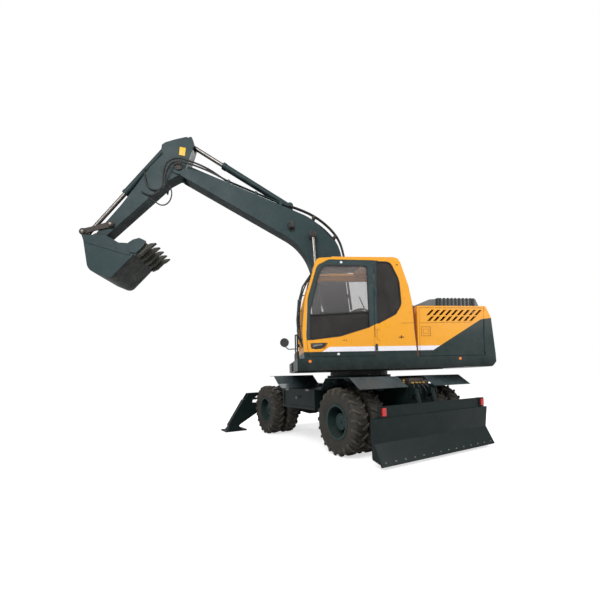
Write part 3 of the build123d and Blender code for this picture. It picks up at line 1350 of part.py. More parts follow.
with BuildPart() as cab_controls:
    with BuildSketch(side_plane(CAB_MID_Y)):
        with BuildLine():
            Polyline((720, SEAT_FLOOR_Z), (860, SEAT_FLOOR_Z), (690, 2290), (630, 2262), close=True)
        make_face()
    extrude(amount=35, both=True)
    with BuildSketch(Plane(origin=(655, CAB_MID_Y, 2262), x_dir=(0, 1, 0), z_dir=(-0.42, 0, 0.91))):
        RegularPolygon(radius=190, side_count=16)
        RegularPolygon(radius=160, side_count=16, mode=Mode.SUBTRACT)
        Rectangle(340, 40)
    extrude(amount=25)
    for side in (1, -1):
        with BuildSketch(Plane.XY.offset(SEAT_FLOOR_Z)):
            with Locations((960, CAB_MID_Y + side * 130)):
                Rectangle(180, 90)
        extrude(amount=60)
    with BuildSketch(Plane.XY.offset(SEAT_FLOOR_Z)):
        with Locations((860, CAB_MID_Y)):
            Rectangle(300, 340)
    extrude(amount=12)
    with BuildSketch(Plane.XY.offset(SEAT_FLOOR_Z)):
        with Locations((1000, CAB_INNER_Y + CAB_WALL + 110)):
            Rectangle(80, 60)
    extrude(amount=760)
    with BuildSketch(Plane.XY.offset(SEAT_FLOOR_Z)):
        with Locations((920, CAB_MID_Y - 200)):
            Rectangle(200, 240)
    extrude(amount=12)
    with BuildSketch(Plane.YZ.offset(985)):
        with Locations((CAB_INNER_Y + CAB_WALL + 130, SEAT_FLOOR_Z + 840)):
            Rectangle(190, 160)
    extrude(amount=30)
keep(cab_controls, "cab_controls", UPPER)

HANDRAILS = (
    # y of the rail, rail radius, then x, z along it
    (CAB_OUTER_Y - 120, 14, ((940, 3040), (1177, 2695), (1251, 2427), (1278, 2160), (1265, 1894), (1150, 1650))),
)
with BuildPart() as handrails:
    for y, radius, points in HANDRAILS:
        with BuildLine(side_plane(y)) as path:
            Polyline(*points)
        with BuildSketch(Plane(origin=path.line @ 0, z_dir=path.line % 0)):
            RegularPolygon(radius=radius, side_count=8)
        sweep(path=path.line, transition=Transition.RIGHT)
    # the rail's ends stop at the cab's front
    with BuildSketch(side_plane(CAB_MID_Y)) as profile:
        with BuildLine():
            Polyline([(x, z) for x, z, r in CAB_LINE], close=True)
        make_face()
        for x, z, r in CAB_LINE:
            if r:
                fillet(profile.vertices().sort_by_distance((x, z))[0], r)
        offset(amount=SEAT_GAP, mode=Mode.REPLACE)
    extrude(amount=CAB_HALF_Y, both=True, mode=Mode.SUBTRACT)
    for first in ((730, 2010), (1150, 1780)):
        with BuildLine(side_plane(-1225)) as path:
            Polyline((first[0], first[1]), (first[0], first[1] + 420), (first[0] - 300, first[1] + 520))
        with BuildSketch(Plane(origin=path.line @ 0, z_dir=path.line % 0)):
            RegularPolygon(radius=16, side_count=8)
        sweep(path=path.line, transition=Transition.RIGHT)
keep(handrails, "handrails", UPPER)

MIRROR_POST_X = DECK_FRONT_X - 16
MIRROR_Y = 1150
MIRROR_X = 1488
with BuildPart() as mirror:
    with BuildSketch(Plane.XY.offset(DECK_TOP_Z + SEAT_GAP)):
        with Locations((MIRROR_POST_X, MIRROR_Y)):
            RegularPolygon(radius=13, side_count=8)
    extrude(amount=370)
    with BuildLine(side_plane(MIRROR_Y)) as path:
        Polyline((MIRROR_POST_X, 1700), (MIRROR_X - 60, 1695), (MIRROR_X, 1745))
    with BuildSketch(Plane(origin=path.line @ 0, z_dir=path.line % 0)):
        RegularPolygon(radius=8, side_count=6)
    sweep(path=path.line, transition=Transition.RIGHT)
    with BuildSketch(side_plane(MIRROR_Y)):
        with Locations((MIRROR_X, 1801)):
            RegularPolygon(radius=70, side_count=20)
    extrude(amount=20, both=True)
keep(mirror, "mirror", UPPER)

# ---------------------------------------------------------------- boom
BOOM_LINE = (
    # along the line of pins, above it, corner radius, from the foot round to the foot
    (0, -165, 0),
    (1900, 699, 1000),
    (BOOM_LENGTH - 128, -85, 0),
    (BOOM_LENGTH - 117, 150, 0),
    (2180, 1192, 900),
    (1430, 1233, 550),
    (0, 165, 0),
)
BOOM_FOOT_R = 165
BOOM_TIP_R = 135
TIP_PIN_R = 45
THROAT_R = 246
TIP_BLOCK = 470
LAMP_AT = (2320, 800)
TOP_SLOPE = degrees(atan2(BOOM_LINE[3][1] - BOOM_LINE[4][1], BOOM_LINE[3][0] - BOOM_LINE[4][0]))
with BuildPart() as boom:
    for inset, half, mode in (
        (0, BOOM_HALF_WIDTH, Mode.ADD),
        (PLATE, BOOM_HALF_WIDTH - PLATE, Mode.SUBTRACT),
    ):
        with BuildSketch(side_plane(0)) as profile:
            with BuildLine():
                Polyline([(x, z) for x, z, r in BOOM_LINE], close=True)
            make_face()
            for x, z, r in BOOM_LINE:
                if r:
                    fillet(profile.vertices().sort_by_distance((x, z))[0], r)
            if inset:
                offset(amount=-inset, mode=Mode.REPLACE)
                with Locations((BOOM_FOOT_R + (BOOM_LENGTH - TIP_BLOCK - BOOM_FOOT_R) / 2, 500)):
                    Rectangle(BOOM_LENGTH - TIP_BLOCK - BOOM_FOOT_R, 3000, mode=Mode.INTERSECT)
            else:
                Circle(BOOM_FOOT_R)
                with Locations((BOOM_LENGTH, 0)):
                    Circle(BOOM_TIP_R)
                Circle(BOOM_PIN_R + RUNNING_GAP, mode=Mode.SUBTRACT)
        extrude(amount=half, both=True, mode=mode)
    # the fork that takes the arm, open above for the arm's lever
    with BuildSketch(side_plane(0)):
        with Locations((BOOM_LENGTH, 0)):
            Circle(THROAT_R)
        with BuildLine():
            Polyline(
                (BOOM_LENGTH - THROAT_R + 10, 30),
                (BOOM_LENGTH - TIP_BLOCK + 30, 250),
                (BOOM_LENGTH - TIP_BLOCK + 30, 420),
                (BOOM_LENGTH, 420),
                (BOOM_LENGTH, 30),
                close=True,
            )
        make_face()
    extrude(amount=ARM_HALF_WIDTH + LUG_GAP, both=True, mode=Mode.SUBTRACT)
    with BuildSketch(side_plane(0)):
        with Locations((BOOM_LENGTH, 0)):
            Circle(TIP_PIN_R)
    extrude(amount=BOOM_HALF_WIDTH + 12, both=True)
    for side in (1, -1):
        with BuildSketch(side_plane(side * (BOOM_HALF_WIDTH - PLATE))):
            with Locations(BOOM_RAM_EYE):
                Circle(75)
        extrude(amount=-side * (BOOM_RAM_Y - BOOM_RAM_EYE_WIDTH / 2 - ROD_GAP - BOOM_HALF_WIDTH + PLATE))
        with BuildSketch(side_plane(side * (ARM_RAM_BORE + LUG_GAP + 12))):
            with Locations(ARM_RAM_BASE):
                Circle(60)
            with BuildLine():
                Polyline(
                    (ARM_RAM_BASE[0] - 60, ARM_RAM_BASE[1]),
                    (ARM_RAM_BASE[0] - 170, ARM_RAM_BASE[1] - 60),
                    (ARM_RAM_BASE[0] + 170, ARM_RAM_BASE[1] - 215),
                    (ARM_RAM_BASE[0] + 60, ARM_RAM_BASE[1]),
                    close=True,
                )
            make_face()
        extrude(amount=12, both=True)
    with BuildSketch(side_plane(0)):
        with Locations(ARM_RAM_BASE):
            Circle(ARM_RAM_PIN)
    extrude(amount=ARM_RAM_BORE + 30, both=True)
keep(boom, "boom", BOOM)

PIPE_START = 480
PIPE_END = 1720
PIPE_LIFT = 40
with BuildPart() as boom_pipes:
    for y, radius in ((106, 15), (-106, 15), (137, 10)):
        with BuildSketch(Plane.YZ.offset(PIPE_START)):
            with Locations((y, PIPE_LIFT)):
                RegularPolygon(radius=radius, side_count=8)
        extrude(amount=PIPE_END - PIPE_START)
    # clamps that stand on the boom's top
    for x in (PIPE_START + 130, (PIPE_START + PIPE_END) / 2, PIPE_END - 90):
        with BuildSketch(Plane.YZ.offset(x)):
            for y, width in ((120, 58), (-107, 32)):
                with Locations((y, (PIPE_LIFT + 20) / 2)):
                    Rectangle(width, PIPE_LIFT + 20 - 2 * SEAT_GAP)
        extrude(amount=45)
keep(boom_pipes, "boom_pipes", BOOM * Location((2180, 0, 1192), (0, -TOP_SLOPE, 0)))

with BuildPart() as work_lamp:
    with BuildSketch(side_plane(BOOM_HALF_WIDTH + SEAT_GAP + 4)):
        with Locations(Location((LAMP_AT[0], LAMP_AT[1]), 26)):
            Rectangle(200, 90)
    extrude(amount=4, both=True)
    with BuildSketch(side_plane(BOOM_HALF_WIDTH + 40)):
        with Locations(Location((LAMP_AT[0], LAMP_AT[1]), 26)):
            Rectangle(120, 60)
    extrude(amount=37, both=True)
    with BuildSketch(Plane(origin=(LAMP_AT[0] - 20, BOOM_HALF_WIDTH + 50, LAMP_AT[1] - 20), z_dir=(0.45, 0, -0.9))):
        RegularPolygon(radius=44, side_count=12)
    extrude(amount=70)
keep(work_lamp, "work_lamp", BOOM)

ram(
    ("boom_ram_barrels", "boom_ram_rods"),
    BOOM_RAM_BASE,
    turned(BOOM_RAM_EYE, BOOM_ANGLE, (BOOM_FOOT_X, BOOM_FOOT_Z)),
    UPPER * Location((0, BOOM_Y, 0)),
    bore=BOOM_RAM_BORE,
    rod=37,
    pin=BOOM_RAM_PIN,
    tube=1440,
    eye_width=BOOM_RAM_EYE_WIDTH,
    offsets=(BOOM_RAM_Y, -BOOM_RAM_Y),
    retract=880,
    extend=110,
)
ram(
    ("arm_ram_barrel", "arm_ram_rod"),
    turned(ARM_RAM_BASE, BOOM_ANGLE, (BOOM_FOOT_X, BOOM_FOOT_Z)),
    turned(ARM_RAM_EYE, ARM_ANGLE, BOOM_TIP),
    UPPER * Location((0, BOOM_Y, 0)),
    bore=ARM_RAM_BORE,
    rod=38,
    pin=ARM_RAM_PIN,
    tube=1440,
    eye_width=2 * (ARM_RAM_BORE + LUG_GAP) - 2 * ROD_GAP,
    offsets=(0,),
    retract=500,
    extend=600,
)

# ---------------------------------------------------------------- arm
ARM_LINE = (
    # along the line of pins, above it, corner radius, from the rear corner round the underside
    (-582, 258, 30),
    (-519, 129, 40),
    (-217, -28, 150),
    (20, -118, 110),
    (303, -53, 200),
    (ARM_LENGTH - 30, -56, 0),
    (ARM_LENGTH - 30, 84, 0),
    (1235, 165, 0),
    (788, 240, 300),
    (376, 325, 200),
    (-112, 358, 0),
)
BUCKET_PIN_R = 35
ARM_TIP_R = 85
IDLER_PIN_R = 32
LINK_T = 28
with BuildPart() as arm:
    for inset, half, mode in (
        (0, ARM_HALF_WIDTH, Mode.ADD),
        (PLATE, ARM_HALF_WIDTH - PLATE, Mode.SUBTRACT),
    ):
        with BuildSketch(side_plane(0)) as profile:
            with BuildLine():
                Polyline([(x, z) for x, z, r in ARM_LINE], close=True)
            make_face()
            for x, z, r in ARM_LINE:
                if r:
                    fillet(profile.vertices().sort_by_distance((x, z))[0], r)
            if inset:
                offset(amount=-inset, mode=Mode.REPLACE)
                with Locations((ARM_LENGTH / 2, 0)):
                    Rectangle(ARM_LENGTH - 360, 2000, mode=Mode.INTERSECT)
            else:
                with Locations((ARM_LENGTH, 0)):
                    Circle(ARM_TIP_R)
                    Circle(BUCKET_PIN_R + RUNNING_GAP, mode=Mode.SUBTRACT)
                Circle(TIP_PIN_R + RUNNING_GAP, mode=Mode.SUBTRACT)
        extrude(amount=half, both=True, mode=mode)
    for side in (1, -1):
        # ears for the bucket cylinder's base, and a boss beside the boom's fork
        with BuildSketch(side_plane(side * (BUCKET_RAM_BORE + LUG_GAP + 12))):
            with BuildLine():
                FilletPolyline(
                    (-500, 200),
                    (-560, 262),
                    (-511, 336),
                    (-333, 427),
                    (-161, 500),
                    (-85, 510),
                    (-18, 459),
                    (60, 330),
                    radius=15,
                    close=True,
                )
            make_face()
        extrude(amount=12, both=True)
        with BuildSketch(side_plane(side * (ARM_HALF_WIDTH - 1))):
            Circle(105)
            Circle(TIP_PIN_R + RUNNING_GAP, mode=Mode.SUBTRACT)
        extrude(amount=-side * (1 + LUG_GAP - ROD_GAP))
    with BuildSketch(side_plane(0)):
        with Locations(BUCKET_RAM_BASE):
            Circle(BUCKET_RAM_PIN)
    extrude(amount=BUCKET_RAM_BORE + 30, both=True)
    with BuildSketch(side_plane(0)):
        with Locations(IDLER_PIN):
            Circle(IDLER_PIN_R)
    extrude(amount=ARM_HALF_WIDTH + LINK_T + 12, both=True)
    # slot between the rear plates for the arm cylinder's rod eye
    with BuildSketch(side_plane(0)):
        with BuildLine():
            Polyline((-700, 90), (-340, 90), (-340, 340), (-700, 500), close=True)
        make_face()
    extrude(amount=ARM_RAM_BORE + LUG_GAP, both=True, mode=Mode.SUBTRACT)
keep(arm, "arm", ARM)

ram(
    ("bucket_ram_barrel", "bucket_ram_rod"),
    turned(BUCKET_RAM_BASE, ARM_ANGLE, BOOM_TIP),
    turned(FRONT_PIN, ARM_ANGLE, BOOM_TIP),
    UPPER * Location((0, BOOM_Y, 0)),
    bore=BUCKET_RAM_BORE,
    rod=34,
    pin=BUCKET_RAM_PIN,
    tube=1180,
    eye_width=2 * LINK_INNER_Y - 2 * ROD_GAP,
    offsets=(0,),
    retract=900,
    extend=60,
)

# ---------------------------------------------------------------- bucket linkage
LINK_MIDDLE = ((IDLER_PIN[0] + FRONT_PIN[0]) / 2, (IDLER_PIN[1] + FRONT_PIN[1]) / 2)
LINK_SLANT = degrees(atan2(FRONT_PIN[1] - IDLER_PIN[1], FRONT_PIN[0] - IDLER_PIN[0]))
LINK_HALF_SPAN = hypot(FRONT_PIN[0] - IDLER_PIN[0], FRONT_PIN[1] - IDLER_PIN[1]) / 2
with BuildPart() as idler_links:
    for side in (1, -1):
        with BuildSketch(side_plane(side * (ARM_HALF_WIDTH + RUNNING_GAP + LINK_T / 2))):
            # a waist keeps the links clear of the bucket's lugs
            with Locations(Location(LINK_MIDDLE, LINK_SLANT)):
                Polygon(
                    (-LINK_HALF_SPAN, -50),
                    (60, -33),
                    (LINK_HALF_SPAN, -50),
                    (LINK_HALF_SPAN, 50),
                    (60, 43),
                    (-LINK_HALF_SPAN, 50),
                    align=None,
                )
            with Locations(IDLER_PIN, FRONT_PIN):
                Circle(62)
            with Locations(IDLER_PIN, FRONT_PIN):
                Circle(IDLER_PIN_R + RUNNING_GAP, mode=Mode.SUBTRACT)
        extrude(amount=LINK_T / 2, both=True)
keep(idler_links, "idler_links", ARM)

link_end = turned(LINK_PIN, BUCKET_ANGLE, ARM_TIP)
link_start = turned(FRONT_PIN, ARM_ANGLE, BOOM_TIP)
LINK_LENGTH = hypot(link_end[0] - link_start[0], link_end[1] - link_start[1])
LINK_ANGLE = degrees(atan2(link_end[1] - link_start[1], link_end[0] - link_start[0]))
with BuildPart() as bucket_link:
    for side in (1, -1):
        with BuildSketch(side_plane(side * (LINK_INNER_Y + 25))):
            with Locations((LINK_LENGTH / 2, 0)):
                SlotCenterToCenter(LINK_LENGTH, 110)
        extrude(amount=25, both=True)
        with BuildSketch(side_plane(side * (LINK_INNER_Y + 40))):
            Circle(IDLER_PIN_R)
        extrude(amount=-side * (ARM_HALF_WIDTH + LINK_T + 8 - LINK_INNER_Y - 40))
    with BuildSketch(side_plane(0)):
        with Locations((LINK_LENGTH, 0)):
            Circle(53)
    extrude(amount=LUG_INNER_Y - ROD_GAP, both=True)
    with BuildSketch(side_plane(0)):
        with Locations((LINK_LENGTH / 2 + 60, 0)):
            Rectangle(90, 60)
    extrude(amount=LINK_INNER_Y + 5, both=True)
keep(
    bucket_link,
    "bucket_link",
    UPPER * Location((link_start[0], BOOM_Y, link_start[1]), (0, -LINK_ANGLE, 0)),
)

# ---------------------------------------------------------------- bucket
BUCKET_LINE = (
    # along the line from pin to tooth tips, across it, corner radius, round the side plate
    (-74, 80, 0),
    (78, 650, 170),
    (430, 745, 130),
    (816, 174, 0),
    (885, 105, 0),
    (909, 16, 0),
    (818, -13, 0),
    (729, 31, 0),
    (667, 90, 0),
    (496, 112, 0),
    (290, 30, 0),
)
BUCKET_WALL = 20
TOOTH_W = 80
with BuildPart() as bucket:
    with BuildSketch(side_plane(0)) as profile:
        with BuildLine():
            Polyline([(x, z) for x, z, r in BUCKET_LINE], close=True)
        make_face()
        for x, z, r in BUCKET_LINE:
            if r:
                fillet(profile.vertices().sort_by_distance((x, z))[0], r)
    extrude(amount=BUCKET_HALF_WIDTH, both=True)
    with BuildSketch(side_plane(0)) as profile:
        with BuildLine():
            Polyline((-95, 0), *[(x, z) for x, z, r in BUCKET_LINE[1:3]], (910, 35), (910, -200), (-95, -200), close=True)
        make_face()
        for x, z, r in BUCKET_LINE[1:3]:
            fillet(profile.vertices().sort_by_distance((x, z))[0], r)
        offset(amount=-BUCKET_WALL, mode=Mode.REPLACE)
    extrude(amount=BUCKET_HALF_WIDTH - BUCKET_WALL, both=True, mode=Mode.SUBTRACT)
    # the back wall is cut away between the lugs, clear of the arm's end
    with BuildSketch(side_plane(0)):
        with BuildLine():
            Polyline((-140, 40), (-140, 315), (20, 315), (40, 150), (40, 40), close=True)
        make_face()
    extrude(amount=LUG_INNER_Y, both=True, mode=Mode.SUBTRACT)
    # and set back into the bucket where the link swings
    with BuildSketch(side_plane(0)):
        with BuildLine():
            Polyline((10, 150), (30, 150), (30, 345), (5, 345), close=True)
        make_face()
    extrude(amount=LUG_INNER_Y + 12, both=True)
    for side in (1, -1):
        with BuildSketch(side_plane(side * (LUG_INNER_Y + 6))):
            with BuildLine():
                Polyline((-50, 150), (30, 150), (30, 345), (0, 345), close=True)
            make_face()
        extrude(amount=6, both=True)
        with BuildSketch(side_plane(side * (LUG_INNER_Y + 15))):
            with BuildLine():
                FilletPolyline(
                    (-95, 0),
                    (-145, 300),
                    (-90, 372),
                    (35, 430),
                    (60, 380),
                    (-30, 150),
                    (90, 40),
                    (70, -38),
                    (0, -80),
                    radius=20,
                    close=True,
                )
            make_face()
            Circle(80)
        extrude(amount=15, both=True)
        # side cutter and the stiffening strip of the side plate
        with BuildSketch(side_plane(side * (BUCKET_HALF_WIDTH + 9))):
            with BuildLine():
                Polyline(
                    (840, 185), (895, 110), (925, 10), (815, -22), (722, 24), (650, 92), (690, 250), (790, 245), close=True
                )
            make_face()
        extrude(amount=10, both=True)
        with BuildSketch(side_plane(side * (BUCKET_HALF_WIDTH + 5))):
            with BuildLine():
                Polyline((-48, 158), (700, 255), (690, 300), (-38, 198), close=True)
            make_face()
        extrude(amount=6, both=True)
    with BuildSketch(side_plane(0)):
        Circle(BUCKET_PIN_R)
    extrude(amount=LUG_INNER_Y + 42, both=True)
    # cutting lip, teeth and lifting eye
    with BuildSketch(side_plane(0)):
        with BuildLine():
            Polyline((742, 262), (775, 292), (905, 100), (880, 78), close=True)
        make_face()
    extrude(amount=BUCKET_HALF_WIDTH - 2, both=True)
    for n in range(5):
        y = (n - 2) * (BUCKET_HALF_WIDTH - 60) / 2
        with BuildSketch(side_plane(y)):
            with BuildLine():
                Polyline((765, 225), (790, 290), (870, 235), (960, 110), (930, 55), (870, 80), close=True)
            make_face()
        extrude(amount=TOOTH_W / 2, both=True)
        with BuildSketch(side_plane(y)):
            with BuildLine():
                Polyline((930, 60), (935, 130), (TIP_RADIUS - 60, 75), (TIP_RADIUS, 0), (990, 20), close=True)
            make_face()
        extrude(amount=TOOTH_W / 2 - 10, both=True)
    with BuildSketch(side_plane(0)):
        with BuildLine():
            Polyline((30, 400), (-60, 395), (-75, 425), (-60, 455), (50, 475), close=True)
        make_face()
        with Locations((-45, 426)):
            RegularPolygon(radius=18, side_count=10, mode=Mode.SUBTRACT)
    extrude(amount=14, both=True)
keep(bucket, "bucket", BUCKET)
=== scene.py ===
# %% [markdown]
# # A wheeled excavator, dressed
# The machine's solids come from the CAD frame and stay where they are.  This lesson gives them paint,
# rubber, glass and steel, and adds what a drawing leaves out: tread, bolts, hoses, handles and trim.

# %% Load the frame
import math

import bpy
from mathutils import Matrix, Vector


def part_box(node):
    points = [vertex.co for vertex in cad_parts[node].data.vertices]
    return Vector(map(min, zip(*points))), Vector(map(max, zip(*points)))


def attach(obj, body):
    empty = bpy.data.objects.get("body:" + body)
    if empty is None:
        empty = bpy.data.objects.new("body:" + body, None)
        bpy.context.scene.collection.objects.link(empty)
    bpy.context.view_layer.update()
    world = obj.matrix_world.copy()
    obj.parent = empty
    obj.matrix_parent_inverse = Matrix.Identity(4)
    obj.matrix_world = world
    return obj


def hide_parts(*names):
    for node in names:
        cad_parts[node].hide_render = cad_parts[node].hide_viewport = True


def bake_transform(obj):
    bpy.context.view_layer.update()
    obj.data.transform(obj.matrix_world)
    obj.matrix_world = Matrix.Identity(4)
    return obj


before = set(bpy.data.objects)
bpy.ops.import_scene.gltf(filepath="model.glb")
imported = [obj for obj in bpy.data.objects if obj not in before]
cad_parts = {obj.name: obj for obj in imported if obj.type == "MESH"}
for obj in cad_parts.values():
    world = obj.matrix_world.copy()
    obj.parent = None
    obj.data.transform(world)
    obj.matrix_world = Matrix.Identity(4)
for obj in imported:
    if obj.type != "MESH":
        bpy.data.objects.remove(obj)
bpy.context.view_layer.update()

# %% [markdown]
# The upper structure is slewed on the undercarriage, so its own axes are turned about the vertical.
# Every place on it is written in its own axes, forward, left and up, and then turned with it.
# The boom, the arm and the bucket each have axes of their own too, with x along their line of pins.

# %% The machine's own axes
SWING = 66.1
UPPER = Matrix.Rotation(math.radians(SWING), 4, "Z")
BOOM_FOOT = (0.25, -0.09, 1.9)
BOOM_ANGLE = 46.9
BOOM_LENGTH = 4.44
ARM_ANGLE = -44.1
ARM_LENGTH = 1.94
BUCKET_ANGLE = 188.7
CAB_MIDDLE_Y = 0.7575
DOOR_Y = 1.245


def pitched(degrees):
    return Matrix.Rotation(math.radians(-degrees), 4, "Y")


BOOM = UPPER @ Matrix.Translation(BOOM_FOOT) @ pitched(BOOM_ANGLE)
ARM = BOOM @ Matrix.Translation((BOOM_LENGTH, 0, 0)) @ pitched(ARM_ANGLE - BOOM_ANGLE)
BUCKET = ARM @ Matrix.Translation((ARM_LENGTH, 0, 0)) @ pitched(BUCKET_ANGLE - ARM_ANGLE)
GROUND = Matrix.Identity(4)

# %% [markdown]
# The camera stands low at the machine's rear left, close enough for the boom to reach past it.
# It is level, rolled by a degree and a half, and its frame is shifted rather than tilted,
# so that upright edges stay parallel.

# %% Camera
CAMERA_AT = Vector((-5.3375, 4.2182, 1.2587))
CAMERA_LOOKS = Vector((0.844, -0.536, 0)).normalized()
CAMERA_ROLL = math.radians(1.519)
camera_data = bpy.data.cameras.new("camera")
camera_data.sensor_width = 36
camera_data.lens = 20.5
camera_data.shift_x = -0.039
camera_data.shift_y = 0.1265
camera_data.clip_end = 400
camera = bpy.data.objects.new("camera", camera_data)
bpy.context.collection.objects.link(camera)
right = CAMERA_LOOKS.cross(Vector((0, 0, 1)))
up = Vector((0, 0, 1))
rolled_right = right * math.cos(CAMERA_ROLL) - up * math.sin(CAMERA_ROLL)
rolled_up = up * math.cos(CAMERA_ROLL) + right * math.sin(CAMERA_ROLL)
turn = Matrix((rolled_right, rolled_up, -CAMERA_LOOKS)).transposed()
camera.matrix_world = Matrix.Translation(CAMERA_AT) @ turn.to_4x4()
bpy.context.scene.camera = camera
bpy.context.scene.view_settings.view_transform = "Standard"

# %% [markdown]
# A material is a small graph of nodes.  A few helpers keep the graphs short: add_node makes a node and
# joins its inputs, calc does arithmetic, and where marks the points that meet some conditions.

# %% Helpers for materials


def feed(tree, node, **inputs):
    """Joins or sets a node's inputs: i3 is the fourth, and Base_Color the one called Base Color."""
    for key, value in inputs.items():
        socket = node.inputs[int(key[1:])] if key[1:].isdigit() else node.inputs[key.replace("_", " ")]
        if isinstance(value, bpy.types.NodeSocket):
            tree.links.new(value, socket)
        else:
            socket.default_value = value


def add_node(tree, kind, settings=None, **inputs):
    node = tree.nodes.new(kind)
    for key, value in (settings or {}).items():
        setattr(node, key, value)
    feed(tree, node, **inputs)
    return node


def calc(tree, operation, a, b=0.0, c=0.0):
    return add_node(tree, "ShaderNodeMath", {"operation": operation}, i0=a, i1=b, i2=c).outputs[0]


def where(tree, *conditions):
    """One where every condition holds and nought elsewhere.  A condition is a value, a sign and a limit."""
    whole = None
    for value, sign, limit in conditions:
        share = calc(tree, {"<": "LESS_THAN", ">": "GREATER_THAN"}[sign], value, limit)
        whole = share if whole is None else calc(tree, "MULTIPLY", whole, share)
    return whole


def highest(tree, *values):
    whole = values[0]
    for value in values[1:]:
        whole = calc(tree, "MAXIMUM", whole, value)
    return whole


def mixed(tree, share, first, second):
    node = add_node(tree, "ShaderNodeMix", {"data_type": "RGBA"}, i0=share, i6=first, i7=second)
    return node.outputs[2]


def ramped(tree, value, low, high, start=0.0, end=1.0):
    return add_node(tree, "ShaderNodeMapRange", None, i0=value, i1=low, i2=high, i3=start, i4=end).outputs[0]


def new_material(name):
    material = bpy.data.materials.new(name)
    material.use_nodes = True
    tree = material.node_tree
    shader = tree.nodes["Principled BSDF"]
    place = add_node(tree, "ShaderNodeTexCoord").outputs["Object"]
    return material, tree, shader, place


def noise(tree, place, scale, detail=3.0, roughness=0.55):
    return add_node(tree, "ShaderNodeTexNoise", None, Vector=place, Scale=scale, Detail=detail,
                    Roughness=roughness).outputs["Fac"]


def waves(tree, place, axis, scale):
    settings = {"bands_direction": axis}
    return add_node(tree, "ShaderNodeTexWave", settings, Vector=place, Scale=scale).outputs["Fac"]


def bumped(tree, shader, height, strength, distance):
    bump = add_node(tree, "ShaderNodeBump", None, Strength=strength, Distance=distance, Height=height)
    feed(tree, shader, Normal=bump.outputs[0])


# %% [markdown]
# The yellow body wears a band of dark green that sweeps up over the tail, and a pale stripe above it.
# Both follow straight lines on the machine's side, so the paint asks for its own place: forward and up.
# Sprayed paint is glossy with a faint orange peel, and dust dulls it in patches.  Low on the skirt the
# green is painted darker towards the bottom: painted shade.

# %% The body's paint
YELLOW = (0.8, 0.35, 0.019, 1)
YELLOW_DULL = (0.78, 0.33, 0.03, 1)
BAND_GREEN = (0.009, 0.024, 0.024, 1)
# painted shade: the skirt's green darkens to this colour towards the bottom
SKIRT_SHADE = (0.003, 0.006, 0.006, 1)
STRIPE_WHITE = (0.78, 0.76, 0.82, 1)
CAB_LINING = (0.16, 0.155, 0.155, 1)
SLATE = (0.027, 0.047, 0.051, 1)
BODY_DUST = (0.35, 0.3, 0.24, 1)
BODY_DUST_KEPT = 0.95  # how much of the paint still shows through the dust
# lines on the machine's side: a point's x and z, and the slope
BAND_CLIMB = (-0.969, 1.643, -0.585)
BAND_FLAT = (-1.835, 2.15, -0.126)
TAIL_EDGE = (-2.041, 2.176, -2.05)
SILL_LINES = ((0.6, 1.88, -0.108), (0.6, 1.88, -0.2988), (0.118, 2.024, -0.469))
STRIPE_END = (1.639, 0.904, -1.6)  # a point's z and x, and the slope
BAND_FOOT_Z = 1.64
TAIL_X = -1.99
STRIPE_TOP_Z = 1.716
STRIPE_Y = 1.18
SKIRT_SHADE_Z = (1.3, 1.53)
POST_X = (-0.05, 0.06)
POST_Y = 1.15
CAB_TOP_Z = 3.108
LINING_X = (-0.56, 1.02)
LINING_HALF = 0.44
LINING_TOP_Z = 3.105


def own_axes(tree, place):
    back = (0, 0, math.radians(-SWING))
    turned = add_node(tree, "ShaderNodeMapping", None, Vector=place, Rotation=back)
    split = add_node(tree, "ShaderNodeSeparateXYZ", None, Vector=turned.outputs[0])
    return split.outputs[0], split.outputs[1], split.outputs[2]


def line(tree, x, x0, z0, slope):
    return calc(tree, "MULTIPLY_ADD", x, slope, z0 - slope * x0)


def finish_paint(tree, shader, place, colour, dull, rough=0.28, peel=0.02, coat=0.12, specular=0.3):
    speckle = noise(tree, place, 7.0, 5.0)
    worn = mixed(tree, ramped(tree, speckle, 0.35, 0.85), colour, dull)
    roughness = ramped(tree, noise(tree, place, 3.0, 4.0), 0.3, 0.7, rough - 0.06, rough + 0.12)
    bumped(tree, shader, noise(tree, place, 260.0, 2.0), peel, 0.002)
    feed(tree, shader, Base_Color=worn, Roughness=roughness, Coat_Weight=coat, Coat_Roughness=0.1,
         Specular_IOR_Level=specular)


